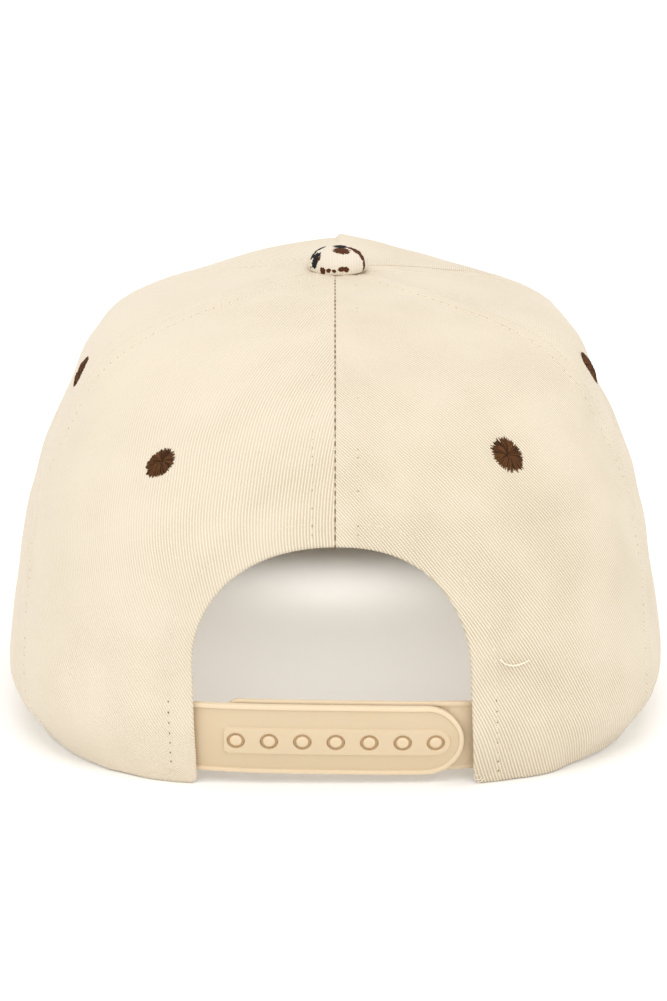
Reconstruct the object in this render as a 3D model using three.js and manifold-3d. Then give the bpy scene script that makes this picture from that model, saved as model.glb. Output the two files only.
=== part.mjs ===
// A five panel trucker cap with a curved peak, an arched back opening and a snap strap,
// standing as it would on a table: on its back rim and on the side edges of its peak.
// Millimetres, +Z up, +Y out of the peak, +X to the right as seen from behind.
// Angles are in degrees round the button's axis from the centre back, positive to the right.

import * as THREE from 'three';
import { mergeVertices } from 'three/addons/utils/BufferGeometryUtils.js';
import Module from 'manifold-3d';

const wasm = await Module();
wasm.setup();

const { clamp, degToRad, lerp, radToDeg, smoothstep } = THREE.MathUtils;

// Turns a table's column names and rows into one object for each row
const table = (names, rows) =>
  rows.map((row) => Object.fromEntries(names.map((name, column) => [name, row[column]])));

// Cloth and clearances
const CLOTH = 1.6; // twill and its backing
const GAP = 0.3; // between neighbouring pieces
const WELD = 1e-4; // corners closer than this are one corner

// The crown's sections from its rim, level 0, to the button's hole, level 1. A section has its
// heights at the back, side and front, its half width and its reaches from the button's axis,
// the squareness of its back and front halves, and how late its front half rises to zFront.
const CROWN = table(
  ['level', 'zBack', 'zSide', 'zFront', 'halfWidth', 'back', 'front', 'squareBack', 'squareFront', 'rise'],
  [
    [0.0, -1, 2, 16.5, 81, 96.5, 96, 3.15, 2.1, 2.0],
    [0.1, 17, 14, 33.5, 88, 100, 96, 3.25, 2.1, 2.0],
    [0.22, 37.5, 36, 52, 85.5, 100, 94, 3.0, 2.2, 2.0],
    [0.36, 58.5, 60.5, 70.5, 81, 94, 90, 2.75, 2.45, 1.9],
    [0.485, 78.5, 79, 87, 73, 81.5, 82.5, 2.6, 2.4, 1.8],
    [0.58, 93, 93, 97.5, 67, 66, 71.5, 2.45, 2.65, 1.6],
    [0.66, 102.5, 101, 105.5, 59, 48, 58, 2.3, 2.35, 1.45],
    [0.815, 109.5, 108, 114.5, 33, 27, 36, 2.1, 2.2, 1.3],
    [1.0, 114, 114, 114, 3, 3, 3, 2.0, 2.0, 1.4],
  ],
);

// The angles of the seams between the back and side panels and the side and front panels
const SEAMS = table(
  ['level', 'backSide', 'sideFront'],
  [
    [0.0, 51, 122],
    [0.15, 54.5, 122],
    [0.3, 61.5, 121],
    [0.45, 65.5, 121],
    [0.6, 63, 123],
    [0.8, 62, 125],
    [1.0, 62, 125],
  ],
);

// Valleys pressed into the back panels, each from one place to another
const FOLDS = table(
  ['fromAngle', 'fromLevel', 'toAngle', 'toLevel', 'width', 'depth'],
  [
    [-24.5, 0.3, -26.2, 0.15, 4.5, 1.3],
    [26.3, 0.26, 23.5, 0.16, 4, 1.0],
    [-33.5, 0.17, -31.8, 0.03, 5, 0.9],
    [31.8, 0.16, 36, 0.016, 5, 0.6],
    [11, 0.738, 18.2, 0.628, 3, 0.7],
  ],
);

// The front panel's centre dart: its right half stands proud of its left near the top. Its step
// lies just before the middle of the panel, at this share of the way round.
const DART = { rise: 1.4, reach: 9, step: 0.6, lowLevel: 0.68, highLevel: 0.95, fade: 0.08, share: 0.4955 };

// The back opening: straight sides from the foot up to the spring, then an arch. The halves differ
// a little, and each has its half widths, its heights and the squareness of its arch.
const ARCHES = {
  left: { halfWidth: 35.7, footWidth: 34.9, spring: 32, top: 61.5, squareness: 2.2 },
  right: { halfWidth: 34, footWidth: 35.1, spring: 27, top: 61.5, squareness: 2.35 },
};
const ARCH_CURVED_SHARE = 0.72;

// Peak: plan outline round its widest line, arched from side to side
const PEAK = {
  rootAngle: 121.5,
  rootLevel: 0.018,
  halfWidth: 86,
  widestY: 65,
  tipY: 167,
  cornerReach: 31,
  cornerTurn: 120,
  squareness: 2.6,
  thickness: 3,
  tipHeight: 9.5,
  archPower: 2.2,
};

// Button: a domed cap over a post through the crown's hole. Heights are from the hole's edge,
// and the button leans back, because the crown falls away faster behind it than in front.
const BUTTON = { sides: 20, leanBack: 5, underside: 0.5, postRadius: 2.1, postDepth: 6 };
const BUTTON_PROFILE = table(
  ['radius', 'height'],
  [
    [7.75, 0.1],
    [8.15, 0.8],
    [7.85, 2.0],
    [6.9, 3.3],
    [5.3, 4.4],
    [2.95, 5.2],
    [0, 5.5],
  ],
);

// Stitched eyelets: their section, as it is where an eyelet reaches as far as outer. Each one is
// drawn out to a long and a short reach, and its long way is turned from the crown's X axis.
const EYELET = { outer: 5, crest: 3.1, inner: 1.2, edge: 0.35, height: 0.9, sides: 16 };
const EYELET_HOLE = { radius: 1.0, sides: 8, length: 10 };
const EYELETS = table(
  ['name', 'angle', 'level', 'long', 'short', 'turn'],
  [
    ['eyelet_back_left', -31, 0.483, 4.8, 3.6, 29],
    ['eyelet_back_right', 31.3, 0.492, 5.1, 4.1, 111],
    ['eyelet_side_left', -74.2, 0.55, 4.3, 4.3, 0],
    ['eyelet_side_right', 75.2, 0.555, 4.3, 4.3, 0],
  ],
);

// Straps: both lie behind the tabs, the outer one over the inner one. Their faces and backs are
// depths behind the crown's face, and their sewn ends lie hidden under the tabs. The fastened
// straps slope down to the right by STRAP_SLOPE degrees.
const STRAP_SLOPE = 0.8;
const STRAP = {
  left: -46,
  right: 32.5,
  low: 2.2,
  high: 21.7,
  sewnRadius: 1,
  border: 1.2,
  face: 2.4,
  back: 3.4,
  raised: 0.5,
};
const STRAP_BAND = { left: -28.4, right: 29, low: 7.9, high: 15.4, corner: 1.2 };
const SNAPS = { count: 7, pitch: 8.4, height: 11.6, holeRadius: 2.3, pegRadius: 1.6, sides: 10 };
const INNER_STRAP = {
  left: -28,
  right: 46,
  low: 2.4,
  high: 22.5,
  corner: 3.2,
  sewnRadius: 1,
  face: 3.7,
  back: 4.7,
};

// Sweatband: it follows the inside of the rim and passes inside the strap ends
const BAND = { startAngle: 20.5, low: 0.012, high: 0.17, thickness: 1.2 };
const STRAP_ROOM = { depth: 4.4, fromAngle: 31, toAngle: 40 };

// The straps stand about this far behind the button's axis
const STRAP_Y = -100;

// How the straps are cut: how far a snap's pin reaches outside and inside STRAP_Y, the length of
// the prism that carries a strap's outline, how far a curved slab passes that outline, and the
// short straight left at the middle of a round end
const CUTTER = { outside: 5, inside: 15, prism: 40, margin: 1, straight: 0.01 };

// Places on the crown are looked for within these, by halving
const SEARCH = { widestAngle: 80, highestLevel: 0.6, halvings: 40 };

// How many strips each surface is divided into, first round the cap and then across
const STRIPS = {
  front: [22, 20],
  side: [12, 18],
  back: [24, 12],
  peak: [26, 8],
  band: [42, 3],
  strap: [10, 1],
  corner: 5,
};

// The cap's middle lies this far in front of the button's axis
const MIDDLE_Y = 34.25;

// Colours and finishes
const FINISH = {
  cloth: new THREE.MeshStandardMaterial({ color: '#f2e4cb', roughness: 0.92, metalness: 0 }),
  band: new THREE.MeshStandardMaterial({ color: '#eadcc3', roughness: 0.95, metalness: 0 }),
  thread: new THREE.MeshStandardMaterial({ color: '#5f402b', roughness: 0.8, metalness: 0 }),
  strap: new THREE.MeshStandardMaterial({ color: '#e6cda8', roughness: 0.5, metalness: 0 }),
};

// A smooth curve through one column of a table, which never swings past its rows
function smoothColumn(rows, name) {
  const levels = rows.map((row) => row.level);
  const values = rows.map((row) => row[name]);
  const last = rows.length - 1;
  const steepness = (i) => (values[i + 1] - values[i]) / (levels[i + 1] - levels[i]);
  const slopes = rows.map((row, i) => {
    if (i === 0) return steepness(0);
    if (i === last) return steepness(last - 1);
    const before = steepness(i - 1);
    const after = steepness(i);
    return before * after > 0 ? (2 * before * after) / (before + after) : 0;
  });
  return (level) => {
    let i = 0;
    while (i < last - 1 && level > levels[i + 1]) i += 1;
    const span = levels[i + 1] - levels[i];
    const t = clamp((level - levels[i]) / span, 0, 1);
    const ease = t * t * (3 - 2 * t);
    const leave = span * slopes[i] * t * (1 - t) * (1 - t);
    const arrive = span * slopes[i + 1] * t * t * (t - 1);
    return lerp(values[i], values[i + 1], ease) + leave + arrive;
  };
}

const smoothTable = (rows) =>
  Object.fromEntries(
    Object.keys(rows[0])
      .filter((name) => name !== 'level')
      .map((name) => [name, smoothColumn(rows, name)]),
  );
const crown = smoothTable(CROWN);
const seams = smoothTable(SEAMS);

// A point of the plain crown, before folds
function crownPoint(angle, level) {
  const sine = Math.sin(degToRad(angle));
  const cosine = Math.cos(degToRad(angle));
  const atBack = cosine > 0;
  const reach = atBack ? crown.back(level) : crown.front(level);
  const square = atBack ? crown.squareBack(level) : crown.squareFront(level);
  const wide = Math.abs(sine) / crown.halfWidth(level);
  const long = Math.abs(cosine) / reach;
  const radius = (wide ** square + long ** square) ** (-1 / square);
  const backShare = (radius * long) ** square;
  const sideShare = (radius * wide) ** ((square / 2) * crown.rise(level));
  const zSide = crown.zSide(level);
  const z = atBack ? lerp(zSide, crown.zBack(level), backShare) : lerp(crown.zFront(level), zSide, sideShare);
  return new THREE.Vector3(radius * sine, -radius * cosine, Math.max(z, 0));
}

// The way out of the plain crown, from two short steps along it. The rim takes the way out that
// the cloth just above it has.
function crownNormal(angle, level) {
  const turn = 0.2;
  const climb = 0.002;
  const aboveRim = 0.01;
  const near = clamp(level, aboveRim, 1 - climb);
  const round = crownPoint(angle + turn, near).sub(crownPoint(angle - turn, near));
  const up = crownPoint(angle, near + climb).sub(crownPoint(angle, near - climb));
  return round.cross(up).normalize();
}

// How far the cloth stands out of the plain crown, negative in a fold
function relief(angle, level) {
  const point = crownPoint(angle, level);
  let stand = 0;
  for (const fold of FOLDS) {
    const from = crownPoint(fold.fromAngle, fold.fromLevel);
    const to = crownPoint(fold.toAngle, fold.toLevel);
    const nearest = new THREE.Line3(from, to).closestPointToPoint(point, true, new THREE.Vector3());
    const away = nearest.distanceTo(point);
    stand -= fold.depth * Math.exp(-((away / fold.width) ** 2));
  }
  if (point.y > 0 && point.x > 0) {
    const rising = smoothstep(level, DART.lowLevel, DART.lowLevel + DART.fade);
    const falling = 1 - smoothstep(level, DART.highLevel - DART.fade, DART.highLevel);
    const edge = clamp(point.x / DART.step, 0, 1);
    stand += DART.rise * rising * falling * edge * Math.exp(-point.x / DART.reach);
  }
  return stand;
}

// A point of the cloth, this deep in from its outer face. The rim is cut level.
function clothPoint(angle, level, depth) {
  const outer = crownPoint(angle, level);
  const point = outer.clone().addScaledVector(crownNormal(angle, level), relief(angle, level) - depth);
  if (level === 0) point.z = outer.z;
  return point;
}

// Halves a range until it closes on the value where isPast turns true
function halve(high, isPast) {
  let below = 0;
  let above = high;
  for (let step = 0; step < SEARCH.halvings; step += 1) {
    const middle = (below + above) / 2;
    if (isPast(middle)) above = middle;
    else below = middle;
  }
  return (below + above) / 2;
}

// The angle at which a level of the crown's back is this far to the side
function angleAt(x, level) {
  const angle = halve(SEARCH.widestAngle, (tried) => crownPoint(tried, level).x > Math.abs(x));
  return Math.sign(x) * angle;
}

// The place on the crown's back that is seen at this x and z from straight behind
function placeAt(x, z) {
  const level = halve(SEARCH.highestLevel, (tried) => crownPoint(angleAt(x, tried), tried).z > z);
  return { angle: angleAt(x, level), level };
}

// The angle that half a gap takes at a level
function gapAngle(angle, level) {
  const point = crownPoint(angle, level);
  return radToDeg(GAP / 2 / Math.hypot(point.x, point.y));
}

const evenly = (count) => Array.from({ length: count + 1 }, (unused, i) => i / count);

// Reads a mesh's volume, to tell whether its faces point outwards
function signedVolume(positions, triangles) {
  const corner = (k) => new THREE.Vector3().fromArray(positions, triangles[k] * 3);
  let volume = 0;
  for (let k = 0; k < triangles.length; k += 3) {
    volume += corner(k).dot(corner(k + 1).cross(corner(k + 2))) / 6;
  }
  return volume;
}

// A closed wall between an outer and an inner sheet: place(u, v, side) has side 0 outside
function wall(us, vs, place) {
  const positions = [];
  for (const side of [0, 1]) {
    for (const v of vs) {
      for (const u of us) positions.push(...place(u, v, side).toArray());
    }
  }
  const lastU = us.length - 1;
  const lastV = vs.length - 1;
  const at = (i, j, side) => (side * vs.length + j) * us.length + i;
  const triangles = [];
  const quad = (a, b, c, d) => triangles.push(a, b, c, a, c, d);
  for (let j = 0; j < lastV; j += 1) {
    for (let i = 0; i < lastU; i += 1) {
      quad(at(i, j, 0), at(i + 1, j, 0), at(i + 1, j + 1, 0), at(i, j + 1, 0));
      quad(at(i, j, 1), at(i, j + 1, 1), at(i + 1, j + 1, 1), at(i + 1, j, 1));
    }
    quad(at(0, j, 0), at(0, j + 1, 0), at(0, j + 1, 1), at(0, j, 1));
    quad(at(lastU, j, 0), at(lastU, j, 1), at(lastU, j + 1, 1), at(lastU, j + 1, 0));
  }
  for (let i = 0; i < lastU; i += 1) {
    quad(at(i, 0, 0), at(i, 0, 1), at(i + 1, 0, 1), at(i + 1, 0, 0));
    quad(at(i, lastV, 0), at(i + 1, lastV, 0), at(i + 1, lastV, 1), at(i, lastV, 1));
  }
  if (signedVolume(positions, triangles) < 0) triangles.reverse();
  const geometry = new THREE.BufferGeometry();
  geometry.setAttribute('position', new THREE.Float32BufferAttribute(positions, 3));
  geometry.setIndex(triangles);
  geometry.computeVertexNormals();
  return geometry;
}

// Booleans
function solidOf(geometry) {
  const bare = geometry.clone();
  bare.deleteAttribute('normal');
  bare.deleteAttribute('uv');
  const merged = mergeVertices(bare, WELD);
  const vertProperties = Float32Array.from(merged.attributes.position.array);
  const triVerts = Uint32Array.from(merged.index.array);
  return new wasm.Manifold(new wasm.Mesh({ numProp: 3, vertProperties, triVerts }));
}
function geometryOf(solid) {
  const mesh = solid.getMesh();
  const geometry = new THREE.BufferGeometry();
  geometry.setAttribute('position', new THREE.BufferAttribute(mesh.vertProperties, 3));
  geometry.setIndex(new THREE.BufferAttribute(mesh.triVerts, 1));
  geometry.computeVertexNormals();
  return geometry;
}

const cap = new THREE.Group();
cap.position.y = -MIDDLE_Y;
function addPiece(name, geometry, material) {
  const piece = new THREE.Mesh(geometry, material);
  piece.name = name;
  cap.add(piece);
  return piece;
}

// Turns a piece made along +Z so that it stands on the crown at an eyelet's place
const turnOnto = (row) =>
  new THREE.Quaternion().setFromUnitVectors(new THREE.Vector3(0, 0, 1), crownNormal(row.angle, row.level));

// Cuts the small air hole of each eyelet that lies in a panel
function withEyeletHoles(geometry, rows) {
  let panel = solidOf(geometry);
  for (const row of rows) {
    const pin = new THREE.CylinderGeometry(
      EYELET_HOLE.radius,
      EYELET_HOLE.radius,
      EYELET_HOLE.length,
      EYELET_HOLE.sides,
    );
    pin.rotateX(Math.PI / 2).applyQuaternion(turnOnto(row));
    pin.translate(...crownPoint(row.angle, row.level).toArray());
    panel = panel.subtract(solidOf(pin));
  }
  return geometryOf(panel);
}
const eyeletNamed = (name) => EYELETS.find((row) => row.name === name);

// Front panel, from the right seam round to the left one
function frontPanel() {
  const [round, up] = STRIPS.front;
  const columns = [...evenly(round), DART.share].sort((a, b) => a - b);
  return wall(columns, evenly(up), (u, level, side) => {
    const edge = seams.sideFront(level);
    const seam = edge + gapAngle(edge, level);
    return clothPoint(lerp(seam, 360 - seam, u), level, side * CLOTH);
  });
}

function sidePanel(hand) {
  const [round, up] = STRIPS.side;
  return wall(evenly(round), evenly(up), (u, level, side) => {
    const backEdge = seams.backSide(level);
    const frontEdge = seams.sideFront(level);
    const from = backEdge + gapAngle(backEdge, level);
    const to = frontEdge - gapAngle(frontEdge, level);
    return clothPoint(hand * lerp(from, to, u), level, side * CLOTH);
  });
}

// One half of the opening's edge, from its top down to the tab's bottom corner. The angle is on
// the right half of the crown, and backPanel mirrors it for the left one.
function archPlace(share, arch) {
  if (share < ARCH_CURVED_SHARE) {
    const turn = (share / ARCH_CURVED_SHARE) * (Math.PI / 2);
    const x = lerp(GAP / 2, arch.halfWidth, Math.sin(turn) ** (2 / arch.squareness));
    const z = lerp(arch.spring, arch.top, Math.cos(turn) ** (2 / arch.squareness));
    return placeAt(x, z);
  }
  const down = (share - ARCH_CURVED_SHARE) / (1 - ARCH_CURVED_SHARE);
  const level = placeAt(arch.halfWidth, arch.spring).level * (1 - down);
  return { angle: angleAt(lerp(arch.halfWidth, arch.footWidth, down), level), level };
}

// The far edge of a back panel, from the button's hole down the side seam. The hole's edge takes
// a small share of it.
const HOLE_SHARE = 0.07;
function farPlace(share) {
  if (share < HOLE_SHARE) {
    const start = gapAngle(0, 1);
    const end = seams.backSide(1) - gapAngle(0, 1);
    return { angle: lerp(start, end, share / HOLE_SHARE), level: 1 };
  }
  const level = 1 - (share - HOLE_SHARE) / (1 - HOLE_SHARE);
  const edge = seams.backSide(level);
  return { angle: edge - gapAngle(edge, level), level };
}

// A back panel is spread between the opening's edge, the side seam, the centre seam and the rim
function backPanel(hand, arch) {
  const archTop = archPlace(0, arch);
  const tabCorner = archPlace(1, arch);
  const seamFoot = farPlace(1);
  const holeEdge = farPlace(0);
  const centrePlace = (v) => {
    const level = lerp(archTop.level, 1, v);
    return { angle: gapAngle(0, level), level };
  };
  const rimPlace = (v) => ({ angle: lerp(tabCorner.angle, seamFoot.angle, v), level: 0 });
  const spread = (u, v, key) => {
    const outwards = lerp(archPlace(u, arch)[key], farPlace(u)[key], v);
    const round = lerp(centrePlace(v)[key], rimPlace(v)[key], u);
    const corners = lerp(lerp(archTop[key], tabCorner[key], u), lerp(holeEdge[key], seamFoot[key], u), v);
    return outwards + round - corners;
  };
  const [along, across] = STRIPS.back;
  const columns = [0, HOLE_SHARE / 2, ...evenly(along).map((u) => lerp(HOLE_SHARE, 1, u))];
  return wall(columns, evenly(across), (u, v, side) => {
    const level = clamp(spread(u, v, 'level'), 0, 1);
    return clothPoint(hand * spread(u, v, 'angle'), level, side * CLOTH);
  });
}

// Peak: its root follows the front of the rim, and its outline is squared at the tip
function peak() {
  const power = 2 / PEAK.squareness;
  const [across, out] = STRIPS.peak;
  return wall(evenly(across), evenly(out), (u, v, side) => {
    const rootAngle = lerp(PEAK.rootAngle, 360 - PEAK.rootAngle, u);
    const root = clothPoint(rootAngle, side ? 0 : PEAK.rootLevel, -GAP);
    const turn = degToRad(lerp(PEAK.cornerTurn, -PEAK.cornerTurn, u));
    const x = PEAK.halfWidth * Math.sign(Math.sin(turn)) * Math.abs(Math.sin(turn)) ** power;
    const reach = Math.cos(turn) > 0 ? PEAK.tipY - PEAK.widestY : -PEAK.cornerReach;
    const y = PEAK.widestY + reach * Math.abs(Math.cos(turn)) ** power;
    const low = PEAK.tipHeight * (1 - (Math.abs(x) / PEAK.halfWidth) ** PEAK.archPower);
    const edge = new THREE.Vector3(x, y, side ? low : low + PEAK.thickness);
    return root.lerp(edge, v);
  });
}

function button() {
  const profile = [
    new THREE.Vector2(0, -BUTTON.postDepth),
    new THREE.Vector2(BUTTON.postRadius, -BUTTON.postDepth),
    new THREE.Vector2(BUTTON.postRadius, BUTTON.underside),
    ...BUTTON_PROFILE.map((row) => new THREE.Vector2(row.radius, row.height)),
  ];
  return new THREE.LatheGeometry(profile, BUTTON.sides).rotateX(Math.PI / 2);
}

function eyelet(row) {
  const profile = [
    new THREE.Vector2(EYELET.inner, 0),
    new THREE.Vector2(EYELET.outer, 0),
    new THREE.Vector2(EYELET.outer, EYELET.edge),
    new THREE.Vector2(EYELET.crest, EYELET.height),
    new THREE.Vector2(EYELET.inner, EYELET.edge),
    new THREE.Vector2(EYELET.inner, 0),
  ];
  const ring = new THREE.LatheGeometry(profile, EYELET.sides).rotateX(Math.PI / 2);
  return ring.scale(row.long / EYELET.outer, row.short / EYELET.outer, 1).rotateZ(degToRad(row.turn));
}

function sweatband() {
  const [round, up] = STRIPS.band;
  return wall(evenly(round), evenly(up), (u, v, side) => {
    const angle = lerp(BAND.startAngle, 360 - BAND.startAngle, u);
    const fromBack = Math.min(angle, 360 - angle);
    const room = STRAP_ROOM.depth * (1 - smoothstep(fromBack, STRAP_ROOM.fromAngle, STRAP_ROOM.toAngle));
    const depth = CLOTH + 2 * GAP + room + side * BAND.thickness;
    return clothPoint(angle, lerp(BAND.low, BAND.high, v), depth);
  });
}

// A curved slab behind the crown's face, between two depths
function slab(left, right, low, high, face, back) {
  const [along, up] = STRIPS.strap;
  return wall(evenly(along), evenly(up), (u, v, side) => {
    const place = placeAt(lerp(left, right, u), lerp(low, high, v));
    return clothPoint(place.angle, place.level, side ? back : face);
  });
}

// An upright outline with round corners, drawn as x and z and cut through along Y
function outline(left, right, low, high, leftRadius, rightRadius) {
  const shape = new THREE.Shape();
  const quarter = Math.PI / 2;
  shape.absarc(right - rightRadius, low + rightRadius, rightRadius, -quarter, 0);
  shape.absarc(right - rightRadius, high - rightRadius, rightRadius, 0, quarter);
  shape.absarc(left + leftRadius, high - leftRadius, leftRadius, quarter, 2 * quarter);
  shape.absarc(left + leftRadius, low + leftRadius, leftRadius, 2 * quarter, 3 * quarter);
  const depth = CUTTER.prism;
  const settings = { depth, bevelEnabled: false, curveSegments: STRIPS.corner };
  const prism = new THREE.ExtrudeGeometry(shape, settings).rotateX(quarter);
  return prism.rotateY(degToRad(STRAP_SLOPE)).translate(0, STRAP_Y + depth / 2, 0);
}

// Round pins along Y at the snaps, right through both straps
function snapPins(radius) {
  const { outside, inside } = CUTTER;
  return evenly(SNAPS.count - 1).map((share) => {
    const pin = new THREE.CylinderGeometry(radius, radius, outside + inside, SNAPS.sides);
    const x = (share - 0.5) * (SNAPS.count - 1) * SNAPS.pitch;
    const y = STRAP_Y + (inside - outside) / 2;
    return solidOf(pin.translate(x, y, SNAPS.height).rotateY(degToRad(STRAP_SLOPE)));
  });
}

// The outer strap has a border and a band that stand proud of the pocket between them
function outerStrap() {
  const { low, high, left, right, sewnRadius, border, face, back, raised } = STRAP;
  const { margin, straight } = CUTTER;
  const endRadius = (high - low) / 2 - straight;
  const bandRadius = (STRAP_BAND.high - STRAP_BAND.low) / 2 - straight;
  const cut = [left - margin, right + margin, low - margin, high + margin];
  const body = solidOf(slab(...cut, face - raised, back));
  const edge = solidOf(outline(left, right, low, high, sewnRadius, endRadius));
  const pocketEdge = solidOf(
    outline(left + border, right - border, low + border, high - border, sewnRadius, endRadius - border),
  );
  const bandEdge = [STRAP_BAND.left, STRAP_BAND.right, STRAP_BAND.low, STRAP_BAND.high];
  const band = solidOf(outline(...bandEdge, STRAP_BAND.corner, bandRadius));
  const wide = 2 * margin;
  const shallow = solidOf(slab(left - wide, right + wide, low - wide, high + wide, 0, face));
  const pocket = shallow.intersect(pocketEdge).subtract(band);
  let strap = body.intersect(edge).subtract(pocket);
  for (const pin of snapPins(SNAPS.holeRadius)) strap = strap.subtract(pin);
  return geometryOf(strap);
}

// The inner strap's pegs reach through the outer strap's holes to its face
function innerStrap() {
  const { left, right, low, high, corner, sewnRadius, face, back } = INNER_STRAP;
  const { margin } = CUTTER;
  const cut = [left - margin, right + margin, low - margin, high + margin];
  const body = solidOf(slab(...cut, face, back));
  const edge = solidOf(outline(left, right, low, high, corner, sewnRadius));
  const pegRoom = solidOf(slab(...cut, STRAP.face - STRAP.raised, back));
  let strap = body.intersect(edge);
  for (const pin of snapPins(SNAPS.pegRadius)) strap = strap.add(pin.intersect(pegRoom));
  return geometryOf(strap);
}

addPiece('front_panel', frontPanel(), FINISH.cloth);
for (const [hand, side] of [[-1, 'left'], [1, 'right']]) {
  const sideEyelet = eyeletNamed(`eyelet_side_${side}`);
  const backEyelet = eyeletNamed(`eyelet_back_${side}`);
  addPiece(`side_panel_${side}`, withEyeletHoles(sidePanel(hand), [sideEyelet]), FINISH.cloth);
  addPiece(`back_panel_${side}`, withEyeletHoles(backPanel(hand, ARCHES[side]), [backEyelet]), FINISH.cloth);
}
addPiece('peak', peak(), FINISH.cloth);
const topButton = addPiece('button', button(), FINISH.cloth);
topButton.rotation.x = degToRad(BUTTON.leanBack);
topButton.position.z = crown.zSide(1);
for (const row of EYELETS) {
  const ring = addPiece(row.name, eyelet(row), FINISH.thread);
  ring.quaternion.copy(turnOnto(row));
  const seat = crownPoint(row.angle, row.level);
  ring.position.copy(seat.addScaledVector(crownNormal(row.angle, row.level), GAP));
}
addPiece('strap_outer', outerStrap(), FINISH.strap);
addPiece('strap_inner', innerStrap(), FINISH.strap);
addPiece('sweatband', sweatband(), FINISH.band);

export default cap;
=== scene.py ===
# A cream twill five panel cap seen from behind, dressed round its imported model. Sizes are in
# millimetres on the crown's own axis and are turned into metres where a mesh is made. Angles are
# in degrees round the button from the centre back, positive to the right.
import math
from collections import namedtuple

import bpy
import numpy as np
from mathutils import Matrix, Vector
from mathutils.geometry import delaunay_2d_cdt


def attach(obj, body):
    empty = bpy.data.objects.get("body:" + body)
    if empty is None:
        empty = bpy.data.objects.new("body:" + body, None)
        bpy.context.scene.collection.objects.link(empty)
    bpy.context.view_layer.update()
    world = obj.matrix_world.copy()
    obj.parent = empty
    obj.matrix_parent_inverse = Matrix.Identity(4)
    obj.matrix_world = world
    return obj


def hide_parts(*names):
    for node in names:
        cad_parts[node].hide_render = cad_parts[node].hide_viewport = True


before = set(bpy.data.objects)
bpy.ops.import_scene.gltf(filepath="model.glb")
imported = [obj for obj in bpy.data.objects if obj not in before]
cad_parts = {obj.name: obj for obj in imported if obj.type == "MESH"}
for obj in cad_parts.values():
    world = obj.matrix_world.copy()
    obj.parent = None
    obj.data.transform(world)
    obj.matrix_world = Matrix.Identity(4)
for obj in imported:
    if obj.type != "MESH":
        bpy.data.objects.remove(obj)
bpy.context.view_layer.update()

# The row frame's middle lies MIDDLE_Y ahead of the button. CLOTH is the cloth's thickness, its hems
# and seams turn in with a radius, and gaps lie between pieces and between two panels in a seam. MM
# turns millimetres into metres.
MM = 0.001
MIDDLE_Y = 34.25
CLOTH = 1.6
HEM_ROUND = 0.8
SEAM_ROUND = 0.22
GAP = 0.3
SEAM_GAP = 0.06
SIDES = ((-1, "left"), (1, "right"))


def table(names, rows):
    columns = np.array(rows, float).T
    return dict(zip(names.split(), columns))


def rows_of(columns):
    return zip(*columns.values())


# The crown's sections, from its rim, level 0, to the button's hole, level 1
CROWN = table(
    "level z_back z_side z_front half_width back front square_back square_front rise",
    [
        (0.0, -1, 2, 16.5, 81, 96.5, 96, 3.15, 2.1, 2.0),
        (0.1, 17, 14, 33.5, 88, 100, 96, 3.25, 2.1, 2.0),
        (0.22, 37.5, 36, 52, 85.5, 100, 94, 3.0, 2.2, 2.0),
        (0.36, 58.5, 60.5, 70.5, 81, 94, 90, 2.75, 2.45, 1.9),
        (0.485, 78.5, 79, 87, 73, 81.5, 82.5, 2.6, 2.4, 1.8),
        (0.58, 93, 93, 97.5, 67, 66, 71.5, 2.45, 2.65, 1.6),
        (0.66, 102.5, 101, 105.5, 59, 48, 58, 2.3, 2.35, 1.45),
        (0.815, 109.5, 108, 114.5, 33, 27, 36, 2.1, 2.2, 1.3),
        (1.0, 114, 114, 114, 3, 3, 3, 2.0, 2.0, 1.4),
    ],
)
SEAMS = table(
    "level back_side side_front",
    [
        (0.0, 51, 122),
        (0.15, 54.5, 122),
        (0.3, 61.5, 121),
        (0.45, 65.5, 121),
        (0.6, 63, 123),
        (0.8, 62, 125),
        (1.0, 62, 125),
    ],
)

# Valleys pressed into the cloth: the first five are in the model too, and the rest are soft
FOLDS = table(
    "from_angle from_level to_angle to_level width depth",
    [
        (-24.5, 0.3, -26.2, 0.15, 4.5, 1.3),
        (26.3, 0.26, 23.5, 0.16, 4, 1.0),
        (-33.5, 0.17, -31.8, 0.03, 5, 0.9),
        (31.8, 0.16, 36, 0.016, 5, 0.6),
        (11, 0.738, 18.2, 0.628, 3, 0.7),
        (-38, 0.16, -36.5, 0.02, 3, 0.45),
        (40, 0.15, 41.5, 0.02, 3.4, 0.35),
        (-12, 0.46, -17, 0.38, 7, 0.35),
        (14, 0.47, 18, 0.4, 8, 0.3),
        (24.0, 0.182, 23.9, 0.12, 1.3, 0.55),
    ],
)

# A short dart at the front panel's top, which steps down to one side of its line
DART = {"rise": 1.4, "reach": 9, "step": 1.5, "low": 0.68, "high": 0.95, "fade": 0.08}

# The opening's two halves: how wide they are above and at the foot, how high the curve starts and
# ends, and how square it is. The curve takes the first share of each edge. The tabs stand on the
# table, which cuts the crown off a little above its lowest rim, and their corners are rounded.
Arch = namedtuple("Arch", "half_width foot_width spring top squareness")
ARCHES = {"left": Arch(35.7, 34.9, 32, 61.5, 2.2), "right": Arch(34, 35.1, 27, 61.5, 2.35)}
ARCH_CURVED_SHARE = 0.72
TAB_CORNER = 1.3
RIM_BELOW_TABLE = 0.9

# The share of a back panel's far edge that runs round the button's hole
HOLE_SHARE = 0.07

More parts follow.
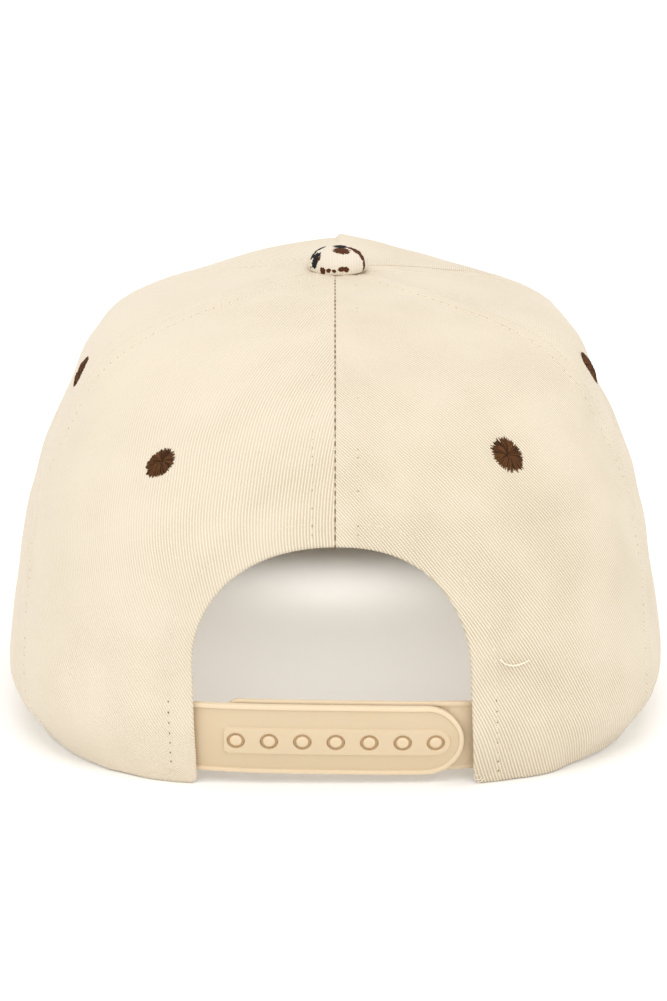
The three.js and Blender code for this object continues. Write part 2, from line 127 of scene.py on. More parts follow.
# The peak: where its root joins the crown, its outline, and how its tip is lifted and arched. Rows
# of stitches lie in dips round it, at shares of its reach.
PEAK = {
    "root_angle": 121.5,
    "root_level": 0.018,
    "half_width": 86,
    "widest_y": 65,
    "tip_y": 167,
    "corner_reach": 31,
    "corner_turn": 120,
    "squareness": 2.6,
    "thickness": 3,
    "tip_height": 9.5,
    "arch_power": 2.2,
    "length": 330,
    "reach": 70,
}
PEAK_ROWS = (0.17, 0.32, 0.47, 0.62, 0.77, 0.9)
PEAK_DIP = {"depth": 0.32, "width": 0.013}

# The button, and the hollow that it presses into the cloth, with small pleats
BUTTON = {
    "lean": 5,
    "top": 114,
    "aside": 0.8,
    "hollow": 0.7,
    "hollow_reach": 9,
    "pleats": 11,
    "pleat_height": 0.14,
}

# The stitched eyelets: where each one lies, its half length, half width and turn
Eyelet = namedtuple("Eyelet", "angle level long short turn")
EYELETS = {
    "eyelet_back_left": Eyelet(-31, 0.483, 4.8, 3.6, 29),
    "eyelet_back_right": Eyelet(31.3, 0.492, 5.7, 4.2, 116),
    "eyelet_side_left": Eyelet(-74.2, 0.55, 4.3, 4.3, 0),
    "eyelet_side_right": Eyelet(75.2, 0.555, 4.3, 4.3, 0),
}
EYELET_HOLE = 0.95

# The straps' outlines in x and z, and how far their faces and backs lie behind the crown's face
STRAP_SLOPE = 0.8
STRAP = {"left": -46, "right": 32.5, "low": 2.2, "high": 21.7, "face": 2.4, "back": 3.4}
STRAP_RAISED = 0.5
STRAP_CORNER = 1
STRAP_BAND = {"left": -28.4, "right": 29, "low": 7.9, "high": 15.4}
STRAP_BAND_CORNER = 1.2
SNAPS = {"count": 7, "pitch": 8.4, "height": 11.6, "hole": 2.3, "peg": 1.6, "collar": 2.2}
INNER_STRAP = {"left": -28, "right": 46, "low": 2.4, "high": 22.5, "corner": 3.2, "face": 3.7, "back": 4.7}

# The sweatband, and the room that it leaves for the straps at the back
BAND = {"start": 23.4, "low": 0.012, "high": 0.17, "thickness": 1.2, "length": 540, "height": 34}
STRAP_ROOM = {"depth": 4.4, "from_angle": 31, "to_angle": 40}

# Stitched rows: how far from its seam a row runs, the length of a stitch, and how plump the cloth is
Row = namedtuple("Row", "offset pitch plump")
ROWS = {
    "centre": Row(5.7, 2.3, 0.22),
    "side": Row(4.8, 2.4, 0.25),
    "front": Row(4.8, 2.4, 0.25),
    "arch": Row(6.3, 2.75, 0.2),
}
DIP = {"depth": 0.24, "width": 0.45, "shallow": 0.55}
PUCKER = {"height": 0.07, "width": 2.4, "stitches": 2.1, "wander": 9}
SEAM_PLUMP_EDGE = (0.2, 1.6)
STITCH_SUNK = 0.08

# The twill of each panel: the angle at the middle of its cut, the lean of its wales, and the
# distance between them. A twill map is drawn for wales that are WALE apart.
Twill = namedtuple("Twill", "centre lean wale")
WALE = 0.8
TWILLS = {
    "front": Twill(180, 30, 0.8),
    "side_left": Twill(-92, 31, 0.8),
    "side_right": Twill(92, 29, 0.8),
    "back_left": Twill(-68, 35, 0.64),
    "back_right": Twill(36, 28, 0.74),
}


def smoothstep(value, low, high):
    share = np.clip((value - low) / (high - low), 0, 1)
    return share * share * (3 - 2 * share)


def lerp(low, high, share):
    return low + (high - low) * share


# How far an edge of this radius has turned away at a distance from its end
def turned_in(distance, radius):
    inside = np.clip(1 - distance / radius, 0, 1)
    return radius * (1 - np.sqrt(1 - inside**2))


# A smooth curve through a column of a table, which never swings past its rows
def smooth_column(levels, values):
    steepness = np.diff(values) / np.diff(levels)
    before = steepness[:-1]
    after = steepness[1:]
    same = before * after > 0
    inner = np.where(same, 2 * before * after / np.where(same, before + after, 1), 0)
    slopes = np.concatenate(([steepness[0]], inner, [steepness[-1]]))

    def at(level):
        row = np.clip(np.searchsorted(levels, level, side="right") - 1, 0, len(levels) - 2)
        span = levels[row + 1] - levels[row]
        share = np.clip((level - levels[row]) / span, 0, 1)
        ease = share * share * (3 - 2 * share)
        leave = span * slopes[row] * share * (1 - share) ** 2
        arrive = span * slopes[row + 1] * share**2 * (share - 1)
        return lerp(values[row], values[row + 1], ease) + leave + arrive

    return at


def smooth_table(rows):
    return {name: smooth_column(rows["level"], rows[name]) for name in rows if name != "level"}


crown = smooth_table(CROWN)
seams = smooth_table(SEAMS)


# A point of the plain crown, before folds and seams
def crown_point(angle, level):
    angle, level = np.broadcast_arrays(np.asarray(angle, float), np.asarray(level, float))
    sine = np.sin(np.radians(angle))
    cosine = np.cos(np.radians(angle))
    at_back = cosine > 0
    reach = np.where(at_back, crown["back"](level), crown["front"](level))
    square = np.where(at_back, crown["square_back"](level), crown["square_front"](level))
    wide = np.abs(sine) / crown["half_width"](level)
    long = np.abs(cosine) / reach
    radius = (wide**square + long**square) ** (-1 / square)
    back_share = (radius * long) ** square
    side_share = (radius * wide) ** (square / 2 * crown["rise"](level))
    z_side = crown["z_side"](level)
    z_back = lerp(z_side, crown["z_back"](level), back_share)
    z_front = lerp(crown["z_front"](level), z_side, side_share)
    z = np.maximum(np.where(at_back, z_back, z_front), 0)
    return np.stack((radius * sine, -radius * cosine, z), axis=-1)


def unit(vectors):
    return vectors / np.linalg.norm(vectors, axis=-1, keepdims=True)


def crown_normal(angle, level):
    turn = 0.2
    climb = 0.002
    above_rim = 0.01
    near = np.clip(level, above_rim, 1 - climb)
    around = crown_point(angle + turn, near) - crown_point(angle - turn, near)
    up = crown_point(angle, near + climb) - crown_point(angle, near - climb)
    return unit(np.cross(around, up))


# Lines drawn on the crown, and how far a point is from one and along it
Line = namedtuple("Line", "angles levels points lengths")


def make_line(angles, levels):
    points = crown_point(angles, levels)
    steps = np.linalg.norm(np.diff(points, axis=0), axis=1)
    return Line(angles, levels, points, np.concatenate(([0], np.cumsum(steps))))


def near_line(line, points):
    chunk = 3000
    shortest = 1e-12
    flat = points.reshape(-1, 3)
    starts = line.points[:-1]
    steps = np.diff(line.points, axis=0)
    sizes = np.maximum((steps**2).sum(-1), shortest)
    away = np.empty(len(flat))
    along = np.empty(len(flat))
    for first in range(0, len(flat), chunk):
        offset = flat[first : first + chunk, None] - starts
        share = np.clip((offset * steps).sum(-1) / sizes, 0, 1)
        squares = ((offset - share[..., None] * steps) ** 2).sum(-1)
        best = squares.argmin(1)
        row = np.arange(len(best))
        away[first : first + chunk] = np.sqrt(squares[row, best])
        along[first : first + chunk] = line.lengths[best] + share[row, best] * np.sqrt(sizes[best])
    return away.reshape(points.shape[:-1]), along.reshape(points.shape[:-1])


# Halves a range until it closes on the value where is_past turns true
def halve(high, is_past, shape):
    halvings = 24
    below = np.zeros(shape)
    above = np.full(shape, float(high))
    for _ in range(halvings):
        middle = (below + above) / 2
        past = is_past(middle)
        above = np.where(past, middle, above)
        below = np.where(past, below, middle)
    return (below + above) / 2


def angle_at(x, level):
    widest = 80
    angle = halve(widest, lambda tried: crown_point(tried, level)[..., 0] > np.abs(x), np.shape(x))
    return np.sign(x) * angle


def place_at(x, z):
    highest = 0.6
    level = halve(highest, lambda tried: crown_point(angle_at(x, tried), tried)[..., 2] > z, np.shape(x))
    return angle_at(x, level), level


# Moves a line sideways along the crown's face, in rounds of least squares for the turn and climb
def offset_line(angles, levels, distance):
    rounds = 8
    turn = 0.05
    climb = 0.0005
    start = crown_point(angles, levels)
    sideways = np.cross(unit(np.gradient(start, axis=0)), crown_normal(angles, levels))
    target = start + sideways * distance
    angle = np.array(angles, float)
    level = np.array(levels, float)
    for _ in range(rounds):
        miss = target - crown_point(angle, level)
        around = (crown_point(angle + turn, level) - crown_point(angle - turn, level)) / (2 * turn)
        low = np.clip(level - climb, 0, 1)
        high = np.clip(level + climb, 0, 1)
        up = (crown_point(angle, high) - crown_point(angle, low)) / (high - low)[:, None]
        aa = (around * around).sum(-1)
        au = (around * up).sum(-1)
        uu = (up * up).sum(-1)
        ma = (miss * around).sum(-1)
        mu = (miss * up).sum(-1)
        spread = aa * uu - au * au
        angle = angle + (ma * uu - mu * au) / spread
        level = np.clip(level + (mu * aa - ma * au) / spread, 0, 1)
    return angle, level


# One half of the opening's edge, from its top down to the tab's rounded bottom corner
def arch_place(share, arch):
    share = np.asarray(share, float)
    turn = np.clip(share / ARCH_CURVED_SHARE, 0, 1) * (math.pi / 2)
    power = 2 / arch.squareness
    x = lerp(SEAM_GAP / 2, arch.half_width, np.sin(turn) ** power)
    z = lerp(arch.spring, arch.top, np.cos(turn) ** power)
    angle, level = place_at(x, z)
    down = np.clip((share - ARCH_CURVED_SHARE) / (1 - ARCH_CURVED_SHARE), 0, 1)
    straight_level = level * (1 - down)
    height = np.maximum(arch.spring * (1 - down) - RIM_BELOW_TABLE, 0)
    edge = lerp(arch.half_width, arch.foot_width, down) + turned_in(height, TAB_CORNER)
    on_side = share > ARCH_CURVED_SHARE
    straight_angle = angle_at(edge, straight_level)
    return np.where(on_side, straight_angle, angle), np.where(on_side, straight_level, level)


def gap_angle(angle, level):
    point = crown_point(angle, level)
    return np.degrees(SEAM_GAP / 2 / np.hypot(point[..., 0], point[..., 1]))


# The far edge of a back panel, from the button's hole down the side seam
def far_place(share):
    share = np.asarray(share, float)
    start = gap_angle(0, 1)
    end = seams["back_side"](np.float64(1)) - gap_angle(0, 1)
    hole_angle = lerp(start, end, np.clip(share / HOLE_SHARE, 0, 1))
    level = 1 - np.clip((share - HOLE_SHARE) / (1 - HOLE_SHARE), 0, 1)
    edge = seams["back_side"](level)
    side_angle = edge - gap_angle(edge, level)
    return np.where(share < HOLE_SHARE, hole_angle, side_angle), level


# The lines that the cloth's relief follows
def seam_lines():
    count = 170
    level = np.linspace(0, 1, count)
    lines = {}
    _, arch_top = place_at(np.array([SEAM_GAP]), np.array([ARCHES["left"].top]))
    lines["centre"] = make_line(np.zeros(count), np.linspace(arch_top[0], 1, count))
    for hand, side in SIDES:
        lines["side_" + side] = make_line(hand * seams["back_side"](level), level)
        lines["front_" + side] = make_line(hand * seams["side_front"](level), level)
        angle, arch_level = arch_place(np.linspace(0, 1, count), ARCHES[side])
        lines["arch_" + side] = make_line(hand * angle, arch_level)
    return lines


lines = seam_lines()
PANEL_LINES = {
    "front": ("front_left", "front_right"),
    "side_left": ("side_left", "front_left"),
    "side_right": ("side_right", "front_right"),
    "back_left": ("centre", "side_left", "arch_left"),
    "back_right": ("centre", "side_right", "arch_right"),
}

# Gentle unevenness of the cloth: a few slow waves through space, from a fixed seed. The longer a
# wave is, the higher it is.
WAVE_SEED = 11
WAVE_COUNT = 16
WAVE_LENGTHS = (11, 46)
WAVE_HEIGHT = 0.045
WAVE_GROWTH = 0.35
wave_rng = np.random.default_rng(WAVE_SEED)


def wave(length):
    kx, ky, kz = unit(wave_rng.normal(size=3)) * 2 * math.pi / length
    phase = wave_rng.uniform(0, 6.3)
    return kx, ky, kz, phase, WAVE_HEIGHT * length**WAVE_GROWTH


WAVES = table("kx ky kz phase height", [wave(length) for length in
    wave_rng.uniform(*WAVE_LENGTHS, WAVE_COUNT)])


def unevenness(points):
    total = np.zeros(points.shape[:-1])
    for kx, ky, kz, phase, height in rows_of(WAVES):
        total += height * np.sin(points[..., 0] * kx + points[..., 1] * ky + points[..., 2] * kz + phase)
    return total / 2


# 1 in the middle of a line, and fading to both sides of it
def bell(away, width):
    return np.exp(-((away / width) ** 2))


# How deep the button presses into the cloth, with small pleats round it
def button_hollow(points, angle):
    from_button = np.hypot(points[..., 0] - BUTTON["aside"], points[..., 1])
    pleats = BUTTON["pleat_height"] * np.sin(np.radians(angle) * BUTTON["pleats"] + 1)
    return np.exp(-((from_button / BUTTON["hollow_reach"]) ** 4)) * (BUTTON["hollow"] + pleats)


def fold_depth(points):
    total = np.zeros(points.shape[:-1])
    for from_angle, from_level, to_angle, to_level, width, depth in rows_of(FOLDS):
        fold = make_line(np.array([from_angle, to_angle]), np.array([from_level, to_level]))
        away, _ = near_line(fold, points)
        total += depth * bell(away, width)
    return total


def dart_rise(points, level):
    x = points[..., 0]
    rising = smoothstep(level, DART["low"], DART["low"] + DART["fade"])
    falling = 1 - smoothstep(level, DART["high"] - DART["fade"], DART["high"])
    step = smoothstep(x, 0, DART["step"])
    return DART["rise"] * rising * falling * step * np.exp(-np.maximum(x, 0) / DART["reach"])


# Along a seam the cloth is plump, dips in where its row of stitches lies and puckers beside it
def sewn_relief(row, away, along):
    across = away - row.offset
    stitch = 0.5 + 0.5 * np.cos(2 * math.pi * along / row.pitch)
    plump = row.plump * (1 - smoothstep(across, *SEAM_PLUMP_EDGE))
    dip = DIP["depth"] * bell(across, DIP["width"]) * lerp(DIP["shallow"], 1, stitch)
    turn = 2 * math.pi * along / (PUCKER["stitches"] * row.pitch) + 2 * np.sin(along / PUCKER["wander"])
    return plump - dip + PUCKER["height"] * bell(across, PUCKER["width"]) * np.sin(turn)


# How far the cloth stands out at folds, at the dart and along its stitched seams
def relief(panel, angle, level):
    points = crown_point(angle, level)
    stand = unevenness(points) * (0.5 if panel == "front" else 1) - button_hollow(points, angle)
    if panel.startswith("back"):
        stand = stand - fold_depth(points)
    if panel == "front":
        stand = stand + dart_rise(points, level)
    for name in PANEL_LINES[panel]:
        stand = stand + sewn_relief(ROWS[name.split("_")[0]], *near_line(lines[name], points))
    return stand


def to_row(points):
    return (np.asarray(points) - (0, MIDDLE_Y, 0)) * MM


# Flat cloth coordinates of a panel in millimetres: across the wales and along them
def twill_map(twill, angle, level):
    steps = 24
    turns = np.linspace(0, 1, steps)
    path = crown_point(twill.centre + (angle - twill.centre) * turns[:, None, None], level)
    across = np.linalg.norm(np.diff(path, axis=0), axis=-1).sum(0) * np.sign(angle - twill.centre)
    levels = np.linspace(0, 1, 400)
    middle = make_line(np.full(levels.shape, float(twill.centre)), levels)
    up = np.interp(level, levels, middle.lengths)
    lean = math.radians(twill.lean)
    u = across * math.cos(lean) + up * math.sin(lean)
    v = -across * math.sin(lean) + up * math.cos(lean)
    return np.stack((u, v), axis=-1) * (WALE / twill.wale)


# Meshes
def add_object(name, data):
    added = bpy.data.objects.new(name, data)
    bpy.context.scene.collection.objects.link(added)
    return added


def new_object(name, mesh, material):
    piece = add_object(name, mesh)
    mesh.materials.clear()
    mesh.materials.append(material)
    mesh.shade_smooth()
    return piece


# The plain mesh of an object as its modifiers or its curve make it
def plain_mesh(carrier):
    depsgraph = bpy.context.evaluated_depsgraph_get()
    return bpy.data.meshes.new_from_object(carrier.evaluated_get(depsgraph))


def set_values(mesh, name, values):
    layer = mesh.attributes.new(name, "FLOAT", "POINT")
    layer.data.foreach_set("value", np.asarray(values, np.float32))


def mesh_from(name, points, faces, uv=None):
    mesh = bpy.data.meshes.new(name)
    mesh.from_pydata(np.asarray(points, float).tolist(), [], [list(map(int, face)) for face in faces])
    if uv is not None:
        layer = mesh.uv_layers.new(name="twill")
        corners = np.empty(len(mesh.loops), np.int32)
        mesh.loops.foreach_get("vertex_index", corners)
        layer.data.foreach_set("uv", np.asarray(uv, np.float32)[corners].ravel())
    mesh.validate()
    mesh.update()
    return mesh


def signed_volume(points, faces):
    corners = np.asarray(points)[np.asarray(faces)]
    total = 0
    for second in range(1, corners.shape[1] - 1):
        crossed = np.cross(corners[:, second], corners[:, second + 1])
        total += (corners[:, 0] * crossed).sum() / 6
    return total


EDGES = {
    "first_row": np.s_[0, :],
    "last_row": np.s_[-1, :],
    "first_column": np.s_[:, 0],
    "last_column": np.s_[:, -1],
}


# A closed shell between an outer and an inner grid, which it joins all round their edges and keeps
# above the table
def shell(name, outer, inner, uv, material, backing=0):
    for edge in EDGES.values():
        inner[edge] = outer[edge]
    points = np.concatenate((outer.reshape(-1, 3), inner[1:-1, 1:-1].reshape(-1, 3)))
    points[:, 2] = np.maximum(points[:, 2], 0)
    points = to_row(points)
    rows, columns = outer.shape[:2]
    index = np.arange(rows * columns).reshape(rows, columns)
    inner_index = index.copy()
    inner_index[1:-1, 1:-1] = rows * columns + np.arange((rows - 2) * (columns - 2)).reshape(rows - 2, -1)

    def quads(grid):
        a = grid[:-1, :-1]
        b = grid[1:, :-1]
        c = grid[1:, 1:]
        d = grid[:-1, 1:]
        return np.stack((a, b, c, d), axis=-1).reshape(-1, 4)

    faces = np.concatenate((quads(index), quads(inner_index)[:, ::-1]))
    uvs = np.concatenate((uv.reshape(-1, 2), uv[1:-1, 1:-1].reshape(-1, 2)))
    if signed_volume(points, faces) < 0:
        faces = faces[:, ::-1]
    piece = new_object(name, mesh_from(name, points, faces, uvs), material)
    set_values(piece.data, "backing", np.where(np.arange(len(points)) < rows * columns, 0, backing))
    return piece


# Shares from 0 to 1 along a sheet of this length, with a count of even steps between its two ends,
# where the cloth is turned in and the steps are small
HEM_STEPS = (0, 0.06, 0.16, 0.32, 0.55, 0.85, 1.3)


def shares(count, length, extra=()):
    steps = np.array(HEM_STEPS) / length
    middle = np.linspace(steps[-1], 1 - steps[-1], count)
    return np.unique(np.concatenate((steps[:-1], middle, 1 - steps[:-1], extra)).round(7))


# One panel's wall. Its hems are turned in roundly, and its other edges meet a neighbour in a seam
def cloth_panel(panel, angle, level, hems, material):
    most_inside = 0.3
    plain = crown_point(angle, level)
    normal = crown_normal(angle, level)
    stand = relief(panel, angle, level)
    fallen = np.zeros(angle.shape)
    risen = np.zeros(angle.shape)
    for key, edge in EDGES.items():
        away, _ = near_line(make_line(angle[edge], level[edge]), plain)
        fallen = np.maximum(fallen, turned_in(away, HEM_ROUND if key in hems else SEAM_ROUND))
        risen = np.maximum(risen, turned_in(away, CLOTH / 2))
    outer = plain + normal * (stand - fallen)[..., None]
    inner = plain + normal * (np.minimum(stand, most_inside) - CLOTH + risen)[..., None]
    kind, _, side = panel.partition("_")
    name = f"{kind}_panel_{side}_cloth" if side else f"{kind}_panel_cloth"
    uv = twill_map(TWILLS[panel], angle, level)
    return shell(name, outer, inner, uv, material, 1 if panel == "front" else 0)


def front_panel(material):
    beside_dart = np.linspace(0.485, 0.505, 15)
    u, level = np.meshgrid(shares(170, 215, beside_dart), shares(120, 118), indexing="ij")
    edge = seams["side_front"](level)
    seam = edge + gap_angle(edge, level)
    angle = lerp(seam, 360 - seam, u)
    return cloth_panel("front", angle, level, ("first_column",), material)


def side_panel(hand, side, material):
    u, level = np.meshgrid(shares(120, 95), shares(130, 125), indexing="ij")
    back_edge = seams["back_side"](level)
    front_edge = seams["side_front"](level)
    start = back_edge + gap_angle(back_edge, level)
    end = front_edge - gap_angle(front_edge, level)
    angle = hand * lerp(start, end, u)
    return cloth_panel("side_" + side, angle, level, ("first_column",), material)


def back_panel(hand, side, material):
    along = shares(185, 105, [HOLE_SHARE / 2, HOLE_SHARE])
    across = shares(125, 65)
    arch = arch_place(along, ARCHES[side])
    far = far_place(along)
    arch_angle, arch_level = (part[:, None] for part in arch)
    far_angle, far_level = (part[:, None] for part in far)
    centre_level = lerp(arch[1][0], 1, across)
    centre_angle = gap_angle(0, centre_level)
    rim_angle = lerp(arch[0][-1], far[0][-1], across)
    share = along[:, None]

    def spread(near, beyond, first, last, corners):
        outwards = lerp(near, beyond, across)
        around = lerp(first, last, share)
        bent = lerp(lerp(corners[0], corners[1], share), lerp(corners[2], corners[3], share), across)
        return outwards + around - bent

    angle_corners = (arch[0][0], arch[0][-1], far[0][0], far[0][-1])
    level_corners = (arch[1][0], arch[1][-1], far[1][0], far[1][-1])
    angle = spread(arch_angle, far_angle, centre_angle, rim_angle, angle_corners)
    level = spread(arch_level, far_level, centre_level, 0, level_corners)
    hems = ("last_row", "first_column")
    return cloth_panel("back_" + side, hand * angle, np.clip(level, 0, 1), hems, material)


# How far each place on a grid is from the grid's edges
def from_edges(u, length, v, height):
    return np.minimum(np.minimum(v, 1 - v) * height, np.minimum(u, 1 - u) * length)


# The peak: its root follows the rim's front, its edge is a squared outline arched side to side.
# Its upper face is side 0, and its under face side 1.
def peak_point(u, v, side):
    root_angle = lerp(PEAK["root_angle"], 360 - PEAK["root_angle"], u)
    level = np.full(u.shape, 0.0 if side else PEAK["root_level"])
    root = crown_point(root_angle, level) + crown_normal(root_angle, level) * GAP
    turn = np.radians(lerp(PEAK["corner_turn"], -PEAK["corner_turn"], u))
    power = 2 / PEAK["squareness"]
    x = PEAK["half_width"] * np.sign(np.sin(turn)) * np.abs(np.sin(turn)) ** power
    reach = np.where(np.cos(turn) > 0, PEAK["tip_y"] - PEAK["widest_y"], -PEAK["corner_reach"])
    y = PEAK["widest_y"] + reach * np.abs(np.cos(turn)) ** power
    low = PEAK["tip_height"] * (1 - (np.abs(x) / PEAK["half_width"]) ** PEAK["arch_power"])
    edge = np.stack((x, y, low + (0 if side else PEAK["thickness"])), axis=-1)
    return lerp(root, edge, v[..., None])


def peak_relief(v):
    return -sum(PEAK_DIP["depth"] * bell(v - row, PEAK_DIP["width"]) for row in PEAK_ROWS)


# The rows of stitches round the peak, above and below it, lying in their dips
def peak_rows():
    ends = (0.02, 0.98)
    sunk = PEAK_DIP["depth"] - STITCH_SUNK
    u = np.linspace(*ends, 300)
    paths = []
    for row in PEAK_ROWS:
        for side, hand in ((0, -1), (1, 1)):
            face = peak_point(u, np.full(u.shape, row), side)
            paths.append(to_row(face + hand * sunk * np.array((0, 0, 1))))
    return paths


def peak(material):
    side_length = 60
    wale_across = (0.866, 0.5)
    u, v = np.meshgrid(shares(210, PEAK["length"]), shares(150, PEAK["reach"]), indexing="ij")
    top = peak_point(u, v, 0)
    under = peak_point(u, v, 1)
    middle = (top + under) / 2
    half = (top - under) / 2
    radius = PEAK["thickness"] / 2
    edge = from_edges(u, side_length, v, PEAK["reach"])
    fullness = 1 - (turned_in(edge, radius) / radius)[..., None]
    stitched = peak_relief(v)[..., None] * np.array((0, 0, 1))
    outer = middle + half * fullness + stitched * fullness
    inner = middle - half * fullness - stitched * fullness
    across = middle[..., 0] * wale_across[0] + middle[..., 1] * wale_across[1]
    uv = np.stack((across, middle[..., 1] * wale_across[0]), axis=-1)
    return shell("peak_cloth", outer, inner, uv, material)


def sweatband(material):
    u, v = np.meshgrid(shares(300, BAND["length"]), shares(14, BAND["height"]), indexing="ij")
    angle = lerp(BAND["start"], 360 - BAND["start"], u)
    from_back = np.minimum(angle, 360 - angle)
    room = STRAP_ROOM["depth"] * (1 - smoothstep(from_back, STRAP_ROOM["from_angle"], STRAP_ROOM["to_angle"]))
    level = lerp(BAND["low"], BAND["high"], v)
    plain = crown_point(angle, level)
    normal = crown_normal(angle, level)
    depth = CLOTH + 2 * GAP + room
    edge = from_edges(u, BAND["length"], v, BAND["height"])
    turned = turned_in(edge, BAND["thickness"] / 2)
    outer = plain - normal * (depth + turned)[..., None]
    inner = plain - normal * (depth + BAND["thickness"] - turned)[..., None]
    uv = np.stack((u * BAND["length"], v * BAND["height"]), axis=-1)
    return shell("sweatband_cloth", outer, inner, uv, material)
# The button: a covered dome, with the cloth's tight edge tucked under it
BUTTON_PROFILE = table(
    "radius height",
    [(0, -2.5), (2.1, -2.5), (2.1, 0), (7.2, -0.5), (7.75, -0.5), (8.08, -0.15), (8.15, 0.6), (7.85, 1.9),
        (6.9, 3.3), (5.3, 4.4), (2.95, 5.2), (0, 5.5)],
)


def button(material):
    sides = 128
    steps = 12
    pleats = {"count": 34, "height": 0.05, "at": 0.2, "tightness": 5, "beyond": 5}
    knots = np.arange(len(BUTTON_PROFILE["radius"]), dtype=float)
    fine = np.linspace(0, knots[-1], steps * (len(knots) - 1) + 1)
    radius = smooth_column(knots, BUTTON_PROFILE["radius"])(fine)[:, None]
    height = smooth_column(knots, BUTTON_PROFILE["height"])(fine)[:, None]
    turn = np.linspace(0, 2 * math.pi, sides, endpoint=False)
    tucked = np.exp(-((height - pleats["at"]) ** 2) * pleats["tightness"]) * (radius > pleats["beyond"])
    wide = np.maximum(radius + pleats["height"] * np.sin(turn * pleats["count"]) * tucked, 0)
    points = np.stack((wide * np.sin(turn), wide * np.cos(turn), np.repeat(height, sides, 1)), -1)
    ring = points[1:-1].reshape(-1, 3)
    poles = np.array([points[0, 0], points[-1, 0]])
    last = len(ring) - sides
    faces = []
    for start in range(0, last, sides):
        for column in range(sides):
            after = (column + 1) % sides
            faces.append((start + column, start + after, start + sides + after, start + sides + column))
    for column in range(sides):
        after = (column + 1) % sides
        faces.append((len(ring), after, column))
        faces.append((len(ring) + 1, last + column, last + after))
    mesh = mesh_from("button_cover", np.concatenate((ring, poles)), faces)
    if sum(face.normal.dot(face.center) * face.area for face in mesh.polygons) < 0:
        mesh.flip_normals()
    piece = new_object("button_cover", mesh, material)
    mesh.transform(Matrix.Scale(MM, 4))
    mesh.transform(Matrix.Rotation(math.radians(BUTTON["lean"]), 4, "X"))
    mesh.transform(Matrix.Translation(to_row([BUTTON["aside"], 0, BUTTON["top"]])))
    return piece


# The straps' plates are drawn flat first, in x and z
def even_loop(points, step):
    closed = np.concatenate((points, points[:1]))
    result = []
    for start, end in zip(closed[:-1], closed[1:]):
        length = np.linalg.norm(end - start)
        if length > 1e-6:
            count = max(1, math.ceil(length / step))
            result += [start + (end - start) * k / count for k in range(count)]
    return np.array(result)


def round_box(left, right, low, high, left_radius, right_radius):
    spacing = 0.9
    arc = 14
    corners = (
        (right - right_radius, low + right_radius, right_radius, -90),
        (right - right_radius, high - right_radius, right_radius, 0),
        (left + left_radius, high - left_radius, left_radius, 90),
        (left + left_radius, low + left_radius, left_radius, 180),
    )
    points = []
    for x, z, radius, start in corners:
        for turn in np.radians(np.linspace(start, start + 90, arc)):
            points.append((x + radius * math.cos(turn), z + radius * math.sin(turn)))
    return even_loop(np.array(points), spacing)


# How far a place is outside a rounded box, or below 0 how far inside
def box_distance(points, left, right, low, high, left_radius, right_radius):
    radius = np.where(points[:, 0] > (left + right) / 2, right_radius, left_radius)
    x = np.abs(points[:, 0] - (left + right) / 2) - (right - left) / 2 + radius
    z = np.abs(points[:, 1] - (low + high) / 2) - (high - low) / 2 + radius
    outside = np.hypot(np.maximum(x, 0), np.maximum(z, 0))
    return outside + np.minimum(np.maximum(x, z), 0) - radius


def box_of(strap):
    return tuple(strap[key] for key in ("left", "right", "low", "high"))


def larger(box, grow):
    left, right, low, high = box
    return left - grow, right + grow, low - grow, high + grow


# The radius that makes a box's end a half circle
def end_radius(box):
    return (box[3] - box[2]) / 2 - 0.01


def snap_places():
    return [(k - (SNAPS["count"] - 1) / 2) * SNAPS["pitch"] for k in range(SNAPS["count"])]


def snap_circles(*radii):
    sides = 28
    turn = np.linspace(0, 2 * math.pi, sides, endpoint=False)
    ring = np.stack((np.cos(turn), np.sin(turn)), axis=-1)
    return [radius * ring + (x, SNAPS["height"]) for x in snap_places() for radius in radii]


def from_snap(flat, x):
    return np.hypot(flat[:, 0] - x, flat[:, 1] - SNAPS["height"])


# The straps slope down a little to the right
def sloped(flat):
    turn = math.radians(STRAP_SLOPE)
    x = flat[:, 0] * math.cos(turn) + flat[:, 1] * math.sin(turn)
    z = flat[:, 1] * math.cos(turn) - flat[:, 0] * math.sin(turn)
    return x, z


def encloses(loop, point):
    x, z = point
    x0, z0 = loop[:, 0], loop[:, 1]
    x1, z1 = np.roll(x0, -1), np.roll(z0, -1)
    crosses = (z0 > z) != (z1 > z)
    with np.errstate(divide="ignore", invalid="ignore"):
        at = x0 + (z - z0) * (x1 - x0) / (z1 - z0)
    return bool((crosses & (x < at)).sum() % 2)


# Fills a flat outline with triangles that follow the rims of its holes and its guides
def fill(outline, holes, guides, spacing):
    clearance = spacing * 0.6
    closeness = 1e-5
    loops = [outline, *holes, *guides]
    steps = [np.arange(low, high, spacing) for low, high in zip(outline.min(0), outline.max(0))]
    grid = np.stack(np.meshgrid(*steps), -1).reshape(-1, 2)
    clear = np.min([np.linalg.norm(grid[:, None] - loop, axis=-1).min(1) for loop in loops], axis=0)
    inside = np.array([encloses(outline, place) for place in grid])
    places = np.concatenate((*loops, grid[inside & (clear > clearance)]))
    edges = []
    start = 0
    for loop in loops:
        edges += [(start + k, start + (k + 1) % len(loop)) for k in range(len(loop))]
        start += len(loop)
    points = [Vector(place) for place in places.tolist()]
    flat, _, faces, *_ = delaunay_2d_cdt(points, edges, [], 0, closeness)
    flat = np.array([tuple(point) for point in flat])
    faces = np.array([face for face in faces if len(face) == 3])
    kept = [encloses(outline, place) and not any(encloses(hole, place) for hole in holes)
        for place in flat[faces].mean(1)]
    return flat, faces[np.array(kept)]


def open_sides(faces):
    sides = {}
    for a, b, c in faces.tolist():
        for start, end in ((a, b), (b, c), (c, a)):
            if (end, start) in sides:
                del sides[(end, start)]
            else:
                sides[(start, end)] = True
    return list(sides)


